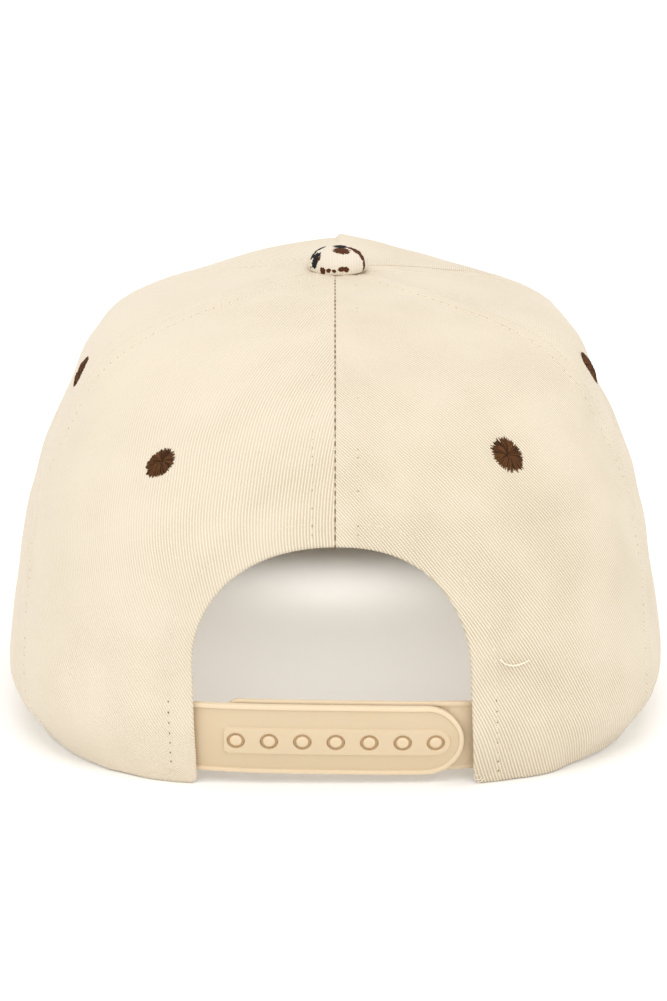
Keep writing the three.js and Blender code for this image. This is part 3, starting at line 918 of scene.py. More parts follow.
# A plate that follows the crown's face. Its front gives each place a depth behind the face, and painted light
# from 0, painted shade in a groove, to 1, a painted highlight on a ridge.
def plate(name, outline, holes, guides, spacing, front, back, material):
    sharpest = 50
    flat, faces = fill(outline, holes, guides, spacing)
    angle, level = place_at(*sloped(flat))
    base = crown_point(angle, level)
    normal = crown_normal(angle, level)
    depth, painted_light_and_tone = front(flat)
    points = np.concatenate((base - normal * depth[:, None], base - normal * back))
    count = len(flat)
    wall = []
    for start, end in open_sides(faces):
        wall.append((start, end + count, end))
        wall.append((start, start + count, end + count))
    faces = np.concatenate((faces, faces[:, ::-1] + count, np.array(wall)))
    if signed_volume(points, faces) < 0:
        faces = faces[:, ::-1]
    used, numbers = np.unique(faces, return_inverse=True)
    mesh = mesh_from(name, to_row(points[used]), numbers.reshape(-1, 3))
    piece = new_object(name, mesh, material)
    set_values(mesh, "painted_light_and_tone", np.concatenate((painted_light_and_tone, painted_light_and_tone))[used])
    mesh.set_sharp_from_angle(angle=math.radians(sharpest))
    return piece


# An edge that falls away roundly
def rounded(distance, radius, fall):
    return fall * turned_in(distance, radius) / radius


# The strap with the holes: a raised border, a raised band with the holes in it, and painted shade where the
# strap comes out from under the tab. The border and band carry painted highlights. Each edge is where a form
# starts and where it ends.
def outer_strap(material):
    border_edge = (1.1, 1.35)
    band_edge = (-0.2, 0.15)
    shade_edge = (STRAP["left"] + 9.5, STRAP["left"] + 13)
    box = box_of(STRAP)
    band = box_of(STRAP_BAND)
    end = end_radius(box)
    band_end = end_radius(band)
    guides = [round_box(*larger(box, -inset), STRAP_CORNER, end - inset)
        for inset in (0.1, 0.25, 0.45, 0.7, 0.95, 1.15, 1.32, 1.5)]
    guides += [round_box(*larger(band, grow), STRAP_BAND_CORNER, band_end + grow)
        for grow in (-0.4, -0.2, 0, 0.15)]
    guides += snap_circles(SNAPS["hole"] + 0.1, SNAPS["hole"] + 0.25)

    def front(flat):
        inset = np.clip(-box_distance(flat, *box, STRAP_CORNER, end), 0, None)
        border = 1 - smoothstep(inset, *border_edge)
        on_band = 1 - smoothstep(box_distance(flat, *band, STRAP_BAND_CORNER, band_end), *band_edge)
        depth = STRAP["face"] - STRAP_RAISED * np.maximum(border, on_band) + rounded(inset, 0.6, 0.42)
        # Painted shade where the strap comes out from under the tab, and painted highlights on the raised
        # border and band
        shade = 1 - smoothstep(flat[:, 0], *shade_edge)
        painted_light_and_tone = 0.5 + 0.4 * border + 0.12 * on_band - 0.25 * shade
        for x in snap_places():
            depth = depth + rounded(np.clip(from_snap(flat, x) - SNAPS["hole"], 0, None), 0.25, 0.2)
        return depth, painted_light_and_tone

    outline = round_box(*box, STRAP_CORNER, end)
    holes = snap_circles(SNAPS["hole"])
    return plate("strap_outer_moulding", outline, holes, guides, 1.1, front, STRAP["back"], material)


# The strap with the pegs, each in a groove painted dark with shade inside its hole, and hollow in its middle
def inner_strap(material):
    border_edge = (0.95, 1.4)
    hollow_edge = (1.0, 1.6)
    light_edge = (0.8, 1.4)
    box = box_of(INNER_STRAP)
    corner = INNER_STRAP["corner"]
    peg = SNAPS["peg"]
    collar = SNAPS["collar"]
    groove = 0.3
    collar_face = STRAP["face"] + 0.15
    peg_face = STRAP["face"] - STRAP_RAISED
    guides = [round_box(*larger(box, -inset), corner - inset, STRAP_CORNER)
        for inset in (0.12, 0.3, 0.6, 0.9, 1.1, 1.4)]
    guides += snap_circles(0.7, 1.1, 1.35, peg - 0.08, peg, collar, collar + 0.06)

    def front(flat):
        inset = np.clip(-box_distance(flat, *box, corner, STRAP_CORNER), 0, None)
        border = 1 - smoothstep(inset, *border_edge)
        depth = INNER_STRAP["face"] + groove - groove * border + rounded(inset, 0.6, 0.3)
        # The face is painted a little lighter against the shade that it lies in, with a painted highlight on
        # its border
        painted_light_and_tone = 0.62 + 0.1 * border
        for x in snap_places():
            away = from_snap(flat, x)
            on_collar = away < collar + 0.03
            on_peg = away < peg - 0.04
            depth = np.where(on_collar, collar_face, depth)
            depth = np.where(on_peg, peg_face + groove * smoothstep(away, *hollow_edge), depth)
            # Painted shade in the groove round each peg, and a painted highlight towards each peg's rim
            painted_light_and_tone = np.where(on_collar, 0, painted_light_and_tone)
            painted_light_and_tone = np.where(on_peg, 0.72 + 0.2 * smoothstep(away, *light_edge), painted_light_and_tone)
        return depth, painted_light_and_tone

    outline = round_box(*box, corner, STRAP_CORNER)
    return plate("strap_inner_moulding", outline, [], guides, 1.2, front, INNER_STRAP["back"], material)
# Shader building
def linear(colour):
    channels = [int(colour[k : k + 2], 16) / 255 for k in (1, 3, 5)]
    return tuple(c / 12.92 if c <= 0.04045 else ((c + 0.055) / 1.055) ** 2.4 for c in channels) + (1,)


# Adds nodes with their inputs, and joins sockets that are given as inputs
class Nodes:
    def add(self, kind, inputs=(), output=0, **settings):
        node = self.tree.nodes.new(kind)
        for key, value in settings.items():
            setattr(node, key, value)
        for key, value in dict(inputs).items():
            if isinstance(value, bpy.types.NodeSocket):
                self.tree.links.new(value, node.inputs[key])
            else:
                node.inputs[key].default_value = value
        return node.outputs[output]

    def math(self, operation, first, second=0.0, third=0.0):
        return self.add("ShaderNodeMath", {0: first, 1: second, 2: third}, operation=operation)

    def times(self, first, second):
        return self.math("MULTIPLY", first, second)

    def times_plus(self, first, second, third):
        return self.math("MULTIPLY_ADD", first, second, third)


class Finish(Nodes):
    def __init__(self, name, **constants):
        self.material = bpy.data.materials.new(name)
        self.material.use_nodes = True
        self.tree = self.material.node_tree
        self.shader = self.tree.nodes["Principled BSDF"]
        for key, value in constants.items():
            self.shader.inputs[key.replace("_", " ")].default_value = value

    def link(self, name, value):
        self.tree.links.new(value, self.shader.inputs[name])

    def mix(self, share, *colours):
        first, second = (linear(colour) if isinstance(colour, str) else colour for colour in colours)
        inputs = {0: share, 6: first, 7: second}
        return self.add("ShaderNodeMix", inputs, output=2, data_type="RGBA", blend_type="MIX")

    def noise(self, vector, scale, detail=2.0, roughness=0.5):
        inputs = {"Vector": vector, "Scale": scale, "Detail": detail, "Roughness": roughness}
        return self.add("ShaderNodeTexNoise", inputs)

    def ramp(self, value, low, high, at_low=0.0, at_high=1.0):
        return self.add("ShaderNodeMapRange", {0: value, 1: low, 2: high, 3: at_low, 4: at_high})

    # Object coordinates
    def place(self):
        return self.add("ShaderNodeTexCoord", output=3)

    def axes(self, vector):
        return self.add("ShaderNodeSeparateXYZ", {0: vector}).node.outputs

    def attribute(self, name):
        return self.add("ShaderNodeAttribute", output=2, attribute_name=name)

    # Coordinates of their own round a place, turned and scaled
    def around(self, vector, location, rotation, scale):
        inputs = {"Vector": vector, "Location": location, "Rotation": rotation, "Scale": scale}
        return self.add("ShaderNodeMapping", inputs, vector_type="TEXTURE")

    def colour(self, value):
        self.link("Base Color", value)

    def bump(self, height, distance, strength):
        inputs = {"Height": height, "Distance": distance, "Strength": strength}
        self.link("Normal", self.add("ShaderNodeBump", inputs))


# How clearly the wales show, in their relief and in their painted shade: patchily, and less at the left, at
# the top and at the far right, as the light falls on them
def wale_clearness(finish, cloth):
    x, _, z = finish.axes(finish.place())
    patches = finish.ramp(finish.noise(cloth, 0.045, 2), 0.35, 0.65, 0.7, 1.2)
    from_left = finish.ramp(x, -0.055, 0.0, 0.4, 1.05)
    to_top = finish.ramp(z, 0.065, 0.1, 1.1, 0.6)
    to_right = finish.ramp(x, 0.055, 0.085, 1.0, 0.6)
    return finish.times(patches, finish.times(from_left, finish.times(to_top, to_right)))


# Twill: raised wales along the map's second axis, broken into floats that step on from wale to wale, with
# soft fuzz over them. The grooves between the wales are painted darker with painted shade. Where a wale is
# unclear, its height and its painted shade stay near the middle. The backing inside the front panel is a
# plain pale cloth.
def twill_finish(name, ridge, groove, backing):
    float_length = 0.62
    float_step = 0.31
    middle = 0.55
    finish = Finish(name, Roughness=0.9, Sheen_Weight=0.12, Sheen_Roughness=0.5)
    cloth = finish.add("ShaderNodeUVMap", uv_map="twill")
    across, along, _ = finish.axes(cloth)
    drift = finish.times(finish.noise(cloth, 0.05, 1), 0.6)
    across = finish.math("ADD", across, finish.times_plus(finish.noise(cloth, 1.1, 1), 0.16, drift))
    wave = finish.math("SINE", finish.times(across, 2 * math.pi / WALE))
    wale = finish.times_plus(wave, 0.5, 0.5)
    number = finish.math("FLOOR", finish.math("DIVIDE", across, WALE))
    floats = finish.times_plus(number, float_step, finish.math("DIVIDE", along, float_length))
    float_wave = finish.math("SINE", finish.times(floats, 2 * math.pi))
    height = finish.times(wale, finish.times_plus(float_wave, 0.22, 0.78))
    clearness = wale_clearness(finish, cloth)
    clear_height = finish.times_plus(finish.math("SUBTRACT", height, middle), clearness, middle)
    place = finish.place()
    fuzz = finish.noise(place, 2600, 2)
    clouds = finish.noise(place, 42, 3)
    value = finish.times(finish.times_plus(fuzz, 0.1, 0.95), finish.times_plus(clouds, 0.05, 0.975))
    # The groove colour is painted shade between the wales, strongest where the wales show clearest
    shade = finish.mix(clear_height, groove, ridge)
    lit = finish.add("ShaderNodeHueSaturation", {"Color": shade, "Value": value})
    speckled = finish.mix(finish.noise(place, 900, 2), backing, "#f2efe8")
    finish.colour(finish.mix(finish.attribute("backing"), lit, speckled))
    finish.bump(finish.times_plus(fuzz, 0.25, clear_height), 0.00016, 0.9)
    return finish.material


def thread_finish(name, light, dark, sheen):
    finish = Finish(name, Roughness=0.7, Sheen_Weight=sheen, Sheen_Roughness=0.4)
    place = finish.place()
    strands = finish.noise(place, 1500, 3, 0.6)
    painted_light_and_tone = finish.noise(place, 260, 2)
    finish.colour(finish.mix(finish.times_plus(painted_light_and_tone, 0.5, finish.times(strands, 0.5)), dark, light))
    finish.bump(strands, 0.00008, 0.6)
    return finish.material


# Embroidery thread: each strand has a shade of its own
def eyelet_finish(name, dark, light):
    finish = Finish(name, Roughness=0.85, Sheen_Weight=0.0, Specular_IOR_Level=0.15)
    fibres = finish.noise(finish.place(), 2200, 3, 0.6)
    share = finish.times_plus(finish.attribute("painted_light_and_tone"), 0.65, finish.times(fibres, 0.35))
    finish.colour(finish.mix(share, dark, light))
    finish.bump(fibres, 0.00008, 0.7)
    return finish.material


# Moulded tan plastic. Its attribute of painted light mixes it from painted shade in its grooves, through its
# own colour, to a painted highlight on its ridges; cloudy noise gives it a random tone too.
def strap_finish(name, groove, floor, ridge):
    finish = Finish(name, Roughness=0.42, Specular_IOR_Level=0.4, Subsurface_Weight=0.1,
        Subsurface_Scale=0.002)
    place = finish.place()
    grain = finish.noise(place, 1800, 2)
    cloudy = finish.times_plus(finish.noise(place, 60, 3), 0.12, finish.attribute("painted_light_and_tone"))
    low = finish.ramp(cloudy, 0.0, 0.5)
    high = finish.ramp(cloudy, 0.5, 1.0)
    finish.colour(finish.mix(high, finish.mix(low, groove, floor), ridge))
    finish.link("Roughness", finish.times_plus(grain, 0.16, 0.38))
    finish.bump(grain, 0.00003, 0.35)
    return finish.material


# The button's cow print: ragged patches, each from one end to the other as seen from above
PRINT = table(
    "from_x from_y to_x to_y half_width black",
    [
        (-3.7, 0.7, -5.9, -0.2, 0.85, 1),
        (-5.8, -0.1, -7.3, -2.3, 0.65, 1),
        (-5.4, -2.6, -6.1, -3.6, 1.35, 1),
        (-6.0, -3.8, -6.4, -5.0, 1.2, 1),
        (-5.0, -4.2, -5.2, -5.0, 0.5, 0),
        (-7.7, -3.6, -7.5, -4.0, 0.3, 1),
        (-4.5, -6.8, -3.9, -7.2, 0.95, 0),
        (-2.9, -7.6, -2.2, -7.8, 0.6, 0),
        (-1.4, -8.0, -0.6, -8.1, 0.5, 0),
        (0.2, -8.0, 1.6, -7.9, 0.7, 0),
        (1.6, -7.9, 2.6, -7.6, 0.75, 0),
        (-0.5, -0.2, 1.7, -0.2, 1.5, 1),
        (-0.6, -3.1, 2.4, -3.1, 1.8, 0),
        (2.8, -0.6, 4.6, -1.1, 0.8, 0),
        (4.4, -1.1, 5.9, -1.8, 1.3, 0),
        (5.9, -1.9, 6.8, -3.3, 0.9, 0),
        (6.8, -3.2, 7.2, -4.6, 0.6, 0),
        (1.0, 5.0, 3.5, 5.5, 1.0, 1),
        (-3.2, 5.6, -1.0, 6.4, 0.8, 0),
        (4.4, 4.7, 5.9, 3.6, 0.8, 1),
        (-6.1, 4.0, -5.0, 5.5, 0.7, 0),
        (-1.5, 7.6, 1.2, 7.7, 0.6, 0),
    ],
)


# The distance between the cloth's ribs, and the dome's shape for the lie of a patch
RIB = 0.42
DOME_RADIUS_SQUARED = 66
DOME_HEIGHT_SQUARED = 30


def on_dome(x, y):
    radius = BUTTON_PROFILE["radius"][:5:-1]
    height = BUTTON_PROFILE["height"][:5:-1]
    return Vector((x, y, np.interp(math.hypot(x, y), radius, height)))


# How far inside a patch each place is, from the ragged reach of its rim. The patch lies on the dome.
def print_patch(finish, own, reach, start, end, half_width):
    depth = 3.0
    middle = (start + end) / 2
    middle = on_dome(middle.x, middle.y)
    along = (end - start).normalized()
    upward = Vector((middle.x / DOME_RADIUS_SQUARED, middle.y / DOME_RADIUS_SQUARED,
        middle.z / DOME_HEIGHT_SQUARED)).normalized()
    across = upward.cross(along).normalized()
    turned = Matrix((along, across, along.cross(across))).transposed()
    half_length = (end - start).length / 2 + half_width / 2
    near = finish.around(own, tuple(middle), tuple(turned.to_euler()), (half_length, half_width, depth))
    return finish.math("SUBTRACT", reach, finish.add("ShaderNodeVectorMath", {0: near}, output=1,
        operation="LENGTH"))


# Ribbed cloth with brown patches, and black ones over them
def button_finish(name):
    finish = Finish(name, Roughness=0.9, Sheen_Weight=0.0, Specular_IOR_Level=0.2)
    place = finish.place()
    centre = tuple(to_row([BUTTON["aside"], 0, BUTTON["top"]]))
    own = finish.around(place, centre, (math.radians(BUTTON["lean"]), 0, 0), (MM, MM, MM))
    ragged = finish.times_plus(finish.noise(own, 1.6, 3, 0.6), 1.5, -0.75)
    reach = finish.math("ADD", 1.0, ragged)
    masks = {0: None, 1: None}
    for from_x, from_y, to_x, to_y, half_width, black in rows_of(PRINT):
        inside = print_patch(finish, own, reach, on_dome(from_x, from_y), on_dome(to_x, to_y), half_width)
        old = masks[int(black)]
        masks[int(black)] = inside if old is None else finish.math("MAXIMUM", old, inside)
    brown, black = (finish.ramp(mask, -0.03, 0.06) for mask in masks.values())
    waves = [finish.math("SINE", finish.times(axis, 2 * math.pi / RIB)) for axis in finish.axes(own)[:2]]
    rib = finish.times_plus(finish.times_plus(waves[1], 0.3, waves[0]), 0.38, 0.5)
    printed = finish.mix(brown, finish.mix(rib, "#d3c6b3", "#e6dccb"), finish.mix(rib, "#45240f", "#5c351c"))
    printed = finish.mix(black, printed, finish.mix(rib, "#141414", "#262524"))
    finish.colour(printed)
    finish.bump(finish.times_plus(finish.noise(place, 3000, 2), 0.4, rib), 0.00009, 0.6)
    return finish.material


FINISHES = {
    # The twills' groove colours are painted shade between the wales
    "twill": twill_finish("cream_twill", "#efe6d7", "#c6b494", "#e2ded6"),
    "band": twill_finish("band_twill", "#dcd2c0", "#cfc2ab", "#dedad2"),
    "seam": thread_finish("cream_thread", "#e6dac6", "#d8c8ae", 0.1),
    "loose": thread_finish("loose_thread", "#f4ecdd", "#e9dcc6", 0.1),
    # The needle holes' and specks' browns are painted shade
    "hole": thread_finish("painted_hole_shade", "#86693f", "#664c2a", 0.0),
    "speck": thread_finish("painted_speck_shade", "#b0946a", "#9b7e54", 0.0),
    "eyelet": eyelet_finish("brown_thread", "#1b0e06", "#714a2a"),
    # The strap's groove and ridge colours are painted shade and a painted highlight
    "strap": strap_finish("tan_plastic", "#bb9a70", "#cfba9a", "#e2ceae"),
    "button": button_finish("cow_print"),
}


# Geometry Nodes: a row of stitches along paths, and a ring of threads
SOCKET_KINDS = {"Material": "NodeSocketMaterial", "Seed": "NodeSocketInt"}


class Tree(Nodes):
    def __init__(self, name, sizes):
        self.tree = bpy.data.node_groups.new(name, "GeometryNodeTree")
        self.tree.is_modifier = True
        sockets = self.tree.interface
        sockets.new_socket("Geometry", in_out="INPUT", socket_type="NodeSocketGeometry")
        for size in sizes:
            kind = SOCKET_KINDS.get(size, "NodeSocketFloat")
            sockets.new_socket(size, in_out="INPUT", socket_type=kind)
        sockets.new_socket("Geometry", in_out="OUTPUT", socket_type="NodeSocketGeometry")
        self.inputs = self.tree.nodes.new("NodeGroupInput").outputs
        self.output = self.tree.nodes.new("NodeGroupOutput").inputs[0]

    def random(self, low, high, seed):
        inputs = {2: low, 3: high, "Seed": seed}
        return self.add("FunctionNodeRandomValue", inputs, output=1, data_type="FLOAT")

    def vector(self, x=0.0, y=0.0, z=0.0):
        return self.add("ShaderNodeCombineXYZ", {0: x, 1: y, 2: z})

    def instances(self, points, thing, rotation, scale):
        return self.add("GeometryNodeInstanceOnPoints",
            {"Points": points, "Instance": thing, "Rotation": rotation, "Scale": scale})

    def finish(self, geometry):
        real = self.add("GeometryNodeRealizeInstances", {0: geometry})
        smooth = self.add("GeometryNodeSetShadeSmooth", {0: real})
        material = self.inputs["Material"]
        dressed = self.add("GeometryNodeSetMaterial", {"Geometry": smooth, "Material": material})
        self.tree.links.new(dressed, self.output)
        return self.tree


def stitch_tree():
    t = Tree("stitch_row", ("Pitch", "Length", "Width", "Ragged", "Seed", "Material"))
    curve = t.add("GeometryNodeMeshToCurve", {0: t.inputs["Geometry"]})
    places = {0: curve, "Length": t.inputs["Pitch"]}
    points = t.add("GeometryNodeCurveToPoints", places, mode="LENGTH").node.outputs
    bead = t.add("GeometryNodeMeshUVSphere", {"Segments": 8, "Rings": 6, "Radius": 0.5})
    size = t.vector(t.inputs["Width"], t.inputs["Width"], t.inputs["Length"])
    low, high = (t.math(sign, 1.0, t.inputs["Ragged"]) for sign in ("SUBTRACT", "ADD"))
    vary = t.random(low, high, t.inputs["Seed"])
    scale = t.add("ShaderNodeVectorMath", {0: size, "Scale": vary}, operation="SCALE")
    return t.finish(t.instances(points["Points"], bead, points["Rotation"], scale))


# Layers of threads from the eyelet's hole out to its ragged rim. Reach is a share of the ellipse.
EYELET_LAYERS = table(
    "strands reach rise thread ragged",
    [(84, 1.06, 0.5, 0.17, 0.06), (67, 1.0, 0.95, 0.17, 0.09), (47, 0.93, 1.2, 0.16, 0.14)],
)


# A layer's strands: how each one's reach, turn and height vary, and its tone
def strand_variations(ragged):
    return (1 - 2 * ragged, 1 + ragged), (-0.04, 0.04), (0.75, 1.25), (0, 1)


def eyelet_tree():
    t = Tree("eyelet_threads", ("Long", "Short", "Seed", "Material"))
    long, short = t.inputs["Long"], t.inputs["Short"]
    index = t.add("GeometryNodeInputIndex")
    layers = []
    for number, (strands, reach, rise, thread, ragged) in enumerate(rows_of(EYELET_LAYERS)):
        strand = t.add("GeometryNodeCurveQuadraticBezier", {"Resolution": 7, "Start": (0.03, 0, -0.5 * MM),
            "Middle": (0.3, 0, rise * MM), "End": (reach, 0, -0.3 * MM)})
        section = t.add("GeometryNodeCurvePrimitiveCircle", {"Resolution": 6, "Radius": thread * MM})
        solid = t.add("GeometryNodeCurveToMesh", {0: strand, 1: section, "Fill Caps": True})
        line = t.add("GeometryNodeMeshLine", {"Count": int(strands), "Offset": (0, 0, 0)})
        far, aside, tall, painted_light_and_tone = (t.random(low, high, t.math("ADD", t.inputs["Seed"], 4.0 * number + k))
            for k, (low, high) in enumerate(strand_variations(ragged)))
        turn = t.times_plus(index, 2 * math.pi / strands, aside)
        x = t.times(t.math("COSINE", turn), short)
        y = t.times(t.math("SINE", turn), long)
        squares = t.math("ADD", t.times(x, x), t.times(y, y))
        radius = t.math("DIVIDE", t.times(long, short), t.math("SQRT", squares))
        placed = t.instances(line, solid, t.vector(z=turn), t.vector(t.times(radius, far), 1.0, tall))
        layers.append(t.add("GeometryNodeStoreNamedAttribute",
            {"Geometry": placed, "Name": "painted_light_and_tone", "Value": painted_light_and_tone}, data_type="FLOAT", domain="INSTANCE"))
    together = t.tree.nodes.new("GeometryNodeJoinGeometry")
    for layer in layers:
        t.tree.links.new(layer, together.inputs[0])
    return t.finish(together.outputs[0])


# Runs a tree on paths and returns the plain mesh that it makes
def grown(name, paths, tree, sizes):
    carrier = add_object(name + "_path", path_mesh(paths))
    modifier = carrier.modifiers.new("grow", "NODES")
    modifier.node_group = tree
    for item in tree.interface.items_tree:
        if item.item_type == "SOCKET" and item.in_out == "INPUT" and item.name in sizes:
            modifier[item.identifier] = sizes[item.name]
    mesh = plain_mesh(carrier)
    carrier.modifiers.remove(modifier)
    bpy.data.objects.remove(carrier)
    mesh.name = name
    return mesh


def path_mesh(paths):
    points = []
    edges = []
    for path in paths:
        start = len(points)
        points += path.tolist()
        edges += [(start + k, start + k + 1) for k in range(len(path) - 1)]
    mesh = bpy.data.meshes.new("path")
    mesh.from_pydata(points, edges, [])
    return mesh


# Where a panel's face is at these places, raised by lift
def on_cloth(panel, angle, level, lift):
    lowest = 0.15
    stand = relief(panel, angle, level) + lift
    point = crown_point(angle, level) + crown_normal(angle, level) * stand[:, None]
    point[:, 2] = np.maximum(point[:, 2], lowest)
    return to_row(point)


# The rows beside a seam or round the arch: the seam, its line, the panel that a row is sewn on and
# the side that it is on
def row_panels():
    rows = []
    for hand, side in SIDES:
        rows.append(("centre", lines["centre"], "back_" + side, hand))
        rows.append(("side", lines["side_" + side], "back_" + side, -hand))
        rows.append(("side", lines["side_" + side], "side_" + side, hand))
        rows.append(("front", lines["front_" + side], "side_" + side, -hand))
        rows.append(("front", lines["front_" + side], "front", hand))
        rows.append(("arch", lines["arch_" + side], "back_" + side, -hand))
    return rows


# The same path, begun further along
def later(path, distance):
    lengths = np.concatenate(([0], np.cumsum(np.linalg.norm(np.diff(path, axis=0), axis=1))))
    start = [np.interp(distance, lengths, path[:, axis]) for axis in range(3)]
    return np.vstack((start, path[lengths > distance]))


# The rows end under the button, and the centre's rows start a little above the arch
LOWEST_STITCH = 0.015
HIGHEST_STITCH = 0.93
CENTRE_ROW_START = 1.9


def row_path(kind, line, panel, way, lift, lowest=0.0, highest=HIGHEST_STITCH):
    shown = (line.levels >= lowest) & (line.levels < highest)
    angle, level = offset_line(line.angles[shown], line.levels[shown], way * ROWS[kind].offset)
    path = on_cloth(panel, angle % 360 if panel == "front" else angle, level, lift)
    return later(path, CENTRE_ROW_START * MM) if kind == "centre" else path


# The beads of thread in a row: their spacing, size and unevenness, its seed and their finish
Beads = namedtuple("Beads", "pitch length width ragged seed finish")


def sew(name, paths, tree, beads):
    finish = FINISHES[beads.finish]
    sizes = {"Pitch": beads.pitch * MM, "Length": beads.length * MM, "Width": beads.width * MM,
        "Ragged": beads.ragged, "Seed": beads.seed, "Material": finish}
    return new_object(name, grown(name, paths, tree, sizes), finish)


def make_stitches(tree):
    pieces = []
    for kind, row in ROWS.items():
        paths = [row_path(*sewn, -STITCH_SUNK, LOWEST_STITCH) for sewn in row_panels() if sewn[0] == kind]
        beads = Beads(row.pitch, 0.84 * row.pitch, 0.32, 0.08, 3, "seam")
        pieces.append(sew(f"{kind}_stitches", paths, tree, beads))
    return [*pieces, sew("peak_stitches", peak_rows(), tree, Beads(2.9, 2.5, 0.36, 0.06, 3, "seam"))]


# Painted shade in the needle holes: dark beads down the centre seam's gap, and at the foot of the tabs' rows.
# Tiny specks of painted shade lie in the needle holes between the stitches that show at the back.
def make_painted_hole_shades(tree):
    seam_sunk, tab_sunk, speck_sunk = 0.13, 0.02, 0.05
    tab_levels = (0.02, 0.135)
    centre = lines["centre"]
    shown = centre.levels < HIGHEST_STITCH
    seam = on_cloth("back_left", centre.angles[shown], centre.levels[shown], -seam_sunk)
    rows = row_panels()
    tabs = [row_path(*sewn, -tab_sunk, *tab_levels) for sewn in rows if sewn[0] == "arch"]
    backs = [later(row_path(*sewn, -speck_sunk, LOWEST_STITCH), ROWS[sewn[0]].pitch / 2 * MM)
        for sewn in rows if sewn[0] in ("centre", "side") and sewn[2].startswith("back")]
    return [sew(name, paths, tree, beads) for name, paths, beads in (
        ("centre_seam_painted_shade", [seam], Beads(2.3, 1.4, 0.4, 0.25, 5, "hole")),
        ("tab_row_painted_shade", tabs, Beads(ROWS["arch"].pitch, 0.5, 0.36, 0.25, 5, "hole")),
        ("back_needle_specks", backs, Beads(ROWS["centre"].pitch, 0.4, 0.34, 0.25, 5, "speck")),
    )]


# Lays something that is built flat at the origin on the cloth where an eyelet is
def onto_cloth(panel, eyelet):
    angle, level = np.array([eyelet.angle]), np.array([eyelet.level])
    normal = Vector(crown_normal(angle, level)[0])
    turn = Vector((0, 0, 1)).rotation_difference(normal).to_matrix().to_4x4()
    return Matrix.Translation(Vector(on_cloth(panel, angle, level, 0)[0])) @ turn


def make_eyelet(name, eyelet, tree, seed):
    finish = FINISHES["eyelet"]
    sizes = {"Long": eyelet.long * MM, "Short": eyelet.short * MM, "Seed": seed, "Material": finish}
    mesh = grown(name + "_threads", [np.zeros((2, 3))], tree, sizes)
    mesh.transform(Matrix.Rotation(math.radians(eyelet.turn), 4, "Z"))
    mesh.transform(onto_cloth(name.removeprefix("eyelet_"), eyelet))
    return new_object(name + "_threads", mesh, finish)


# Loose ends: one long one on the right tab, and a frayed corner under it. Each has its radius, its
# way in x and z, and its lift.
LOOSE_ENDS = {
    "thread_end": (0.19, [(41.1, 33.5), (42.5, 32.2), (44.4, 31.7), (46.7, 32.1), (48.3, 32.6)], 0.9),
    "fray_left": (0.1, [(37.0, 2.0), (36.2, 1.4), (35.2, 1.3)], 0.3),
    "fray_low": (0.1, [(37.6, 1.6), (36.6, 0.8), (35.7, 0.5)], 0.3),
    "fray_up": (0.09, [(36.4, 3.0), (35.6, 2.6), (35.0, 2.9)], 0.2),
}


def loose_end(name, radius, route, lift):
    route = np.array(route)
    fine = np.linspace(0, len(route) - 1, 25)
    knots = np.arange(len(route), dtype=float)
    x = smooth_column(knots, route[:, 0])(fine)
    z = smooth_column(knots, route[:, 1])(fine)
    angle, level = place_at(x, z)
    points = on_cloth("back_right", angle, level, radius + lift * np.sin(np.linspace(0, math.pi, len(fine))))
    curve = bpy.data.curves.new(name, "CURVE")
    curve.dimensions = "3D"
    curve.bevel_depth = radius * MM
    curve.bevel_resolution = 2
    curve.use_fill_caps = True
    spline = curve.splines.new("POLY")
    spline.points.add(len(points) - 1)
    for point, place in zip(spline.points, points):
        point.co = (*place, 1)
    carrier = add_object(name + "_path", curve)
    mesh = plain_mesh(carrier)
    bpy.data.objects.remove(carrier)
    return new_object("loose_" + name, mesh, FINISHES["loose"])


# Cuts an eyelet's air hole through its panel
def pierce(panel, panel_name, eyelet):
    pin_length = 8
    bpy.ops.mesh.primitive_cylinder_add(vertices=20, radius=EYELET_HOLE * MM, depth=pin_length * MM)
    pin = bpy.context.object
    pin.data.transform(onto_cloth(panel_name, eyelet))
    cut = panel.modifiers.new("hole", "BOOLEAN")
    cut.operation = "DIFFERENCE"
    cut.solver = "MANIFOLD"
    cut.object = pin
    mesh = plain_mesh(panel)
    panel.modifiers.clear()
    panel.data = mesh
    bpy.data.objects.remove(pin)


# Gives a finished piece its body, and hides the nodes that it replaces
def dress(piece, slot, *nodes):
    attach(piece, "root")
    if nodes:
        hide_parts(*nodes)


def build():
    stitches = stitch_tree()
    threads = eyelet_tree()
    twill = FINISHES["twill"]
    dress(front_panel(twill), "twill", "front_panel")
    for hand, side in SIDES:
        panels = {"side": side_panel(hand, side, twill), "back": back_panel(hand, side, twill)}
        for kind, panel in panels.items():
            pierce(panel, f"{kind}_{side}", EYELETS[f"eyelet_{kind}_{side}"])
            dress(panel, "twill", f"{kind}_panel_{side}")
    dress(peak(twill), "twill", "peak")
    dress(sweatband(FINISHES["band"]), "band_cloth", "sweatband")
    dress(button(FINISHES["button"]), "button_cloth", "button")
    dress(outer_strap(FINISHES["strap"]), "strap_plastic", "strap_outer")
    dress(inner_strap(FINISHES["strap"]), "strap_plastic", "strap_inner")
    for number, (name, eyelet) in enumerate(EYELETS.items()):
        dress(make_eyelet(name, eyelet, threads, 20 * (number + 1)), "eyelet_thread", name)
    ends = [loose_end(name, *shape) for name, shape in LOOSE_ENDS.items()]
    for piece in [*make_stitches(stitches), *make_painted_hole_shades(stitches), *ends]:
        dress(piece, "twill")


# Camera: behind the cap and a little above it, with a long lens
CAMERA = {"elevation": 15.229, "aim_z": 48.272, "aim_x": -0.41, "distance": 940, "focal_px": 3418.4}
PHOTO_HEIGHT = 1001
SENSOR = 36


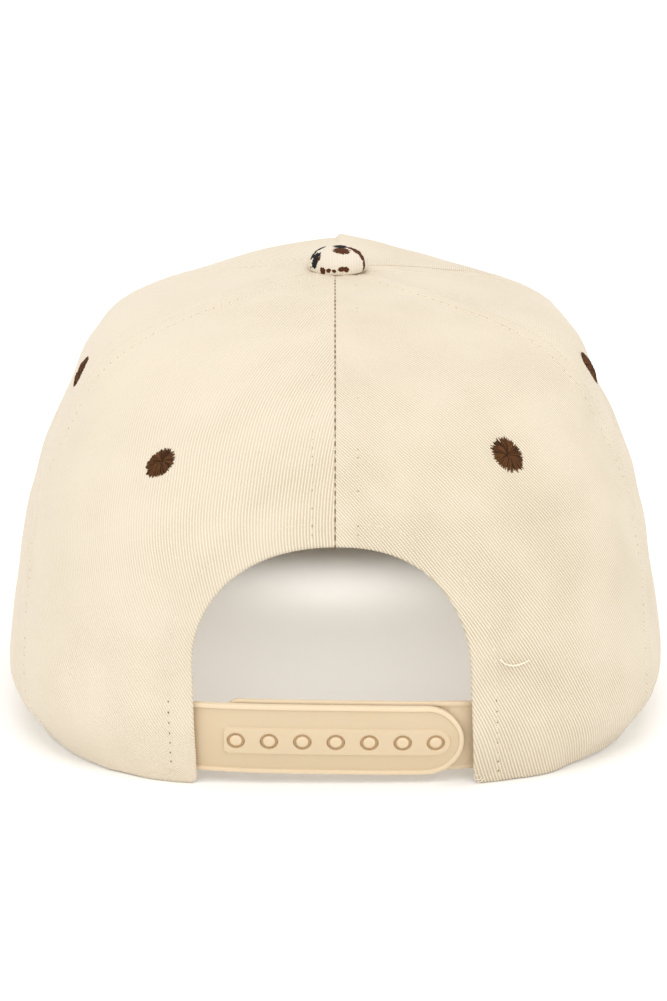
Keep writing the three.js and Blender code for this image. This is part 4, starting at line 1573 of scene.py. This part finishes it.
def make_camera():
    elevation = math.radians(CAMERA["elevation"])
    aim = Vector(to_row([CAMERA["aim_x"], 0, CAMERA["aim_z"]]))
    back = Vector((0, -math.cos(elevation), math.sin(elevation)))
    data = bpy.data.cameras.new("camera")
    data.sensor_fit = "VERTICAL"
    data.sensor_height = SENSOR
    data.sensor_width = SENSOR
    data.lens = CAMERA["focal_px"] / PHOTO_HEIGHT * SENSOR
    data.clip_end = 50
    camera = add_object("camera", data)
    camera.location = aim + back * CAMERA["distance"] * MM
    camera.rotation_euler = (-back).to_track_quat("-Z", "Y").to_euler()
    bpy.context.scene.camera = camera


# A wide soft sun from behind the camera, above it and a little to its right, and two small lamps
# that fill the crown's inside: their place, how far they lean forward from pointing down, their
# width and power
SUN = {"bearing": -5, "elevation": 54, "spread": 60, "strength": 1.0}
INSIDE_LAMPS = table("y z lean width power", [(0, 97, 0, 90, 0.045), (77, 36, 25, 32, 0.006)])
WORLD_STRENGTH = 1.03


def add_light(name, kind, **settings):
    data = bpy.data.lights.new(name, kind)
    for key, value in settings.items():
        setattr(data, key, value)
    return add_object(name, data)


def make_lights():
    bearing, elevation = math.radians(SUN["bearing"]), math.radians(SUN["elevation"])
    from_sun = Vector((-math.sin(bearing) * math.cos(elevation), -math.cos(bearing) * math.cos(elevation),
        math.sin(elevation)))
    sun = add_light("soft_sun", "SUN", energy=SUN["strength"], angle=math.radians(SUN["spread"]))
    sun.rotation_euler = (-from_sun).to_track_quat("-Z", "Y").to_euler()
    for y, z, lean, width, power in rows_of(INSIDE_LAMPS):
        lamp = add_light("inside_lamp", "AREA", shape="DISK", size=width * MM, energy=power)
        lamp.location = to_row([0, y, z])
        lamp.rotation_euler = (math.radians(lean), 0, 0)
    world = bpy.data.worlds.new("studio")
    world.use_nodes = True
    background = world.node_tree.nodes["Background"].inputs
    background["Color"].default_value = (1, 1, 1, 1)
    background["Strength"].default_value = WORLD_STRENGTH
    bpy.context.scene.world = world


def make_stage():
    reach = 9
    corners = [(-reach, -reach, 0), (reach, -reach, 0), (reach, reach, 0), (-reach, reach, 0)]
    pale = Finish("pale_floor", Roughness=0.95)
    pale.colour(pale.mix(pale.noise(pale.place(), 3, 2), "#fbfbfa", "#ffffff"))
    floor = new_object("floor", mesh_from("floor", corners, [(0, 1, 2, 3)]), pale.material)
    bpy.context.scene.view_settings.view_transform = "Standard"


make_camera()
make_lights()
make_stage()
build()
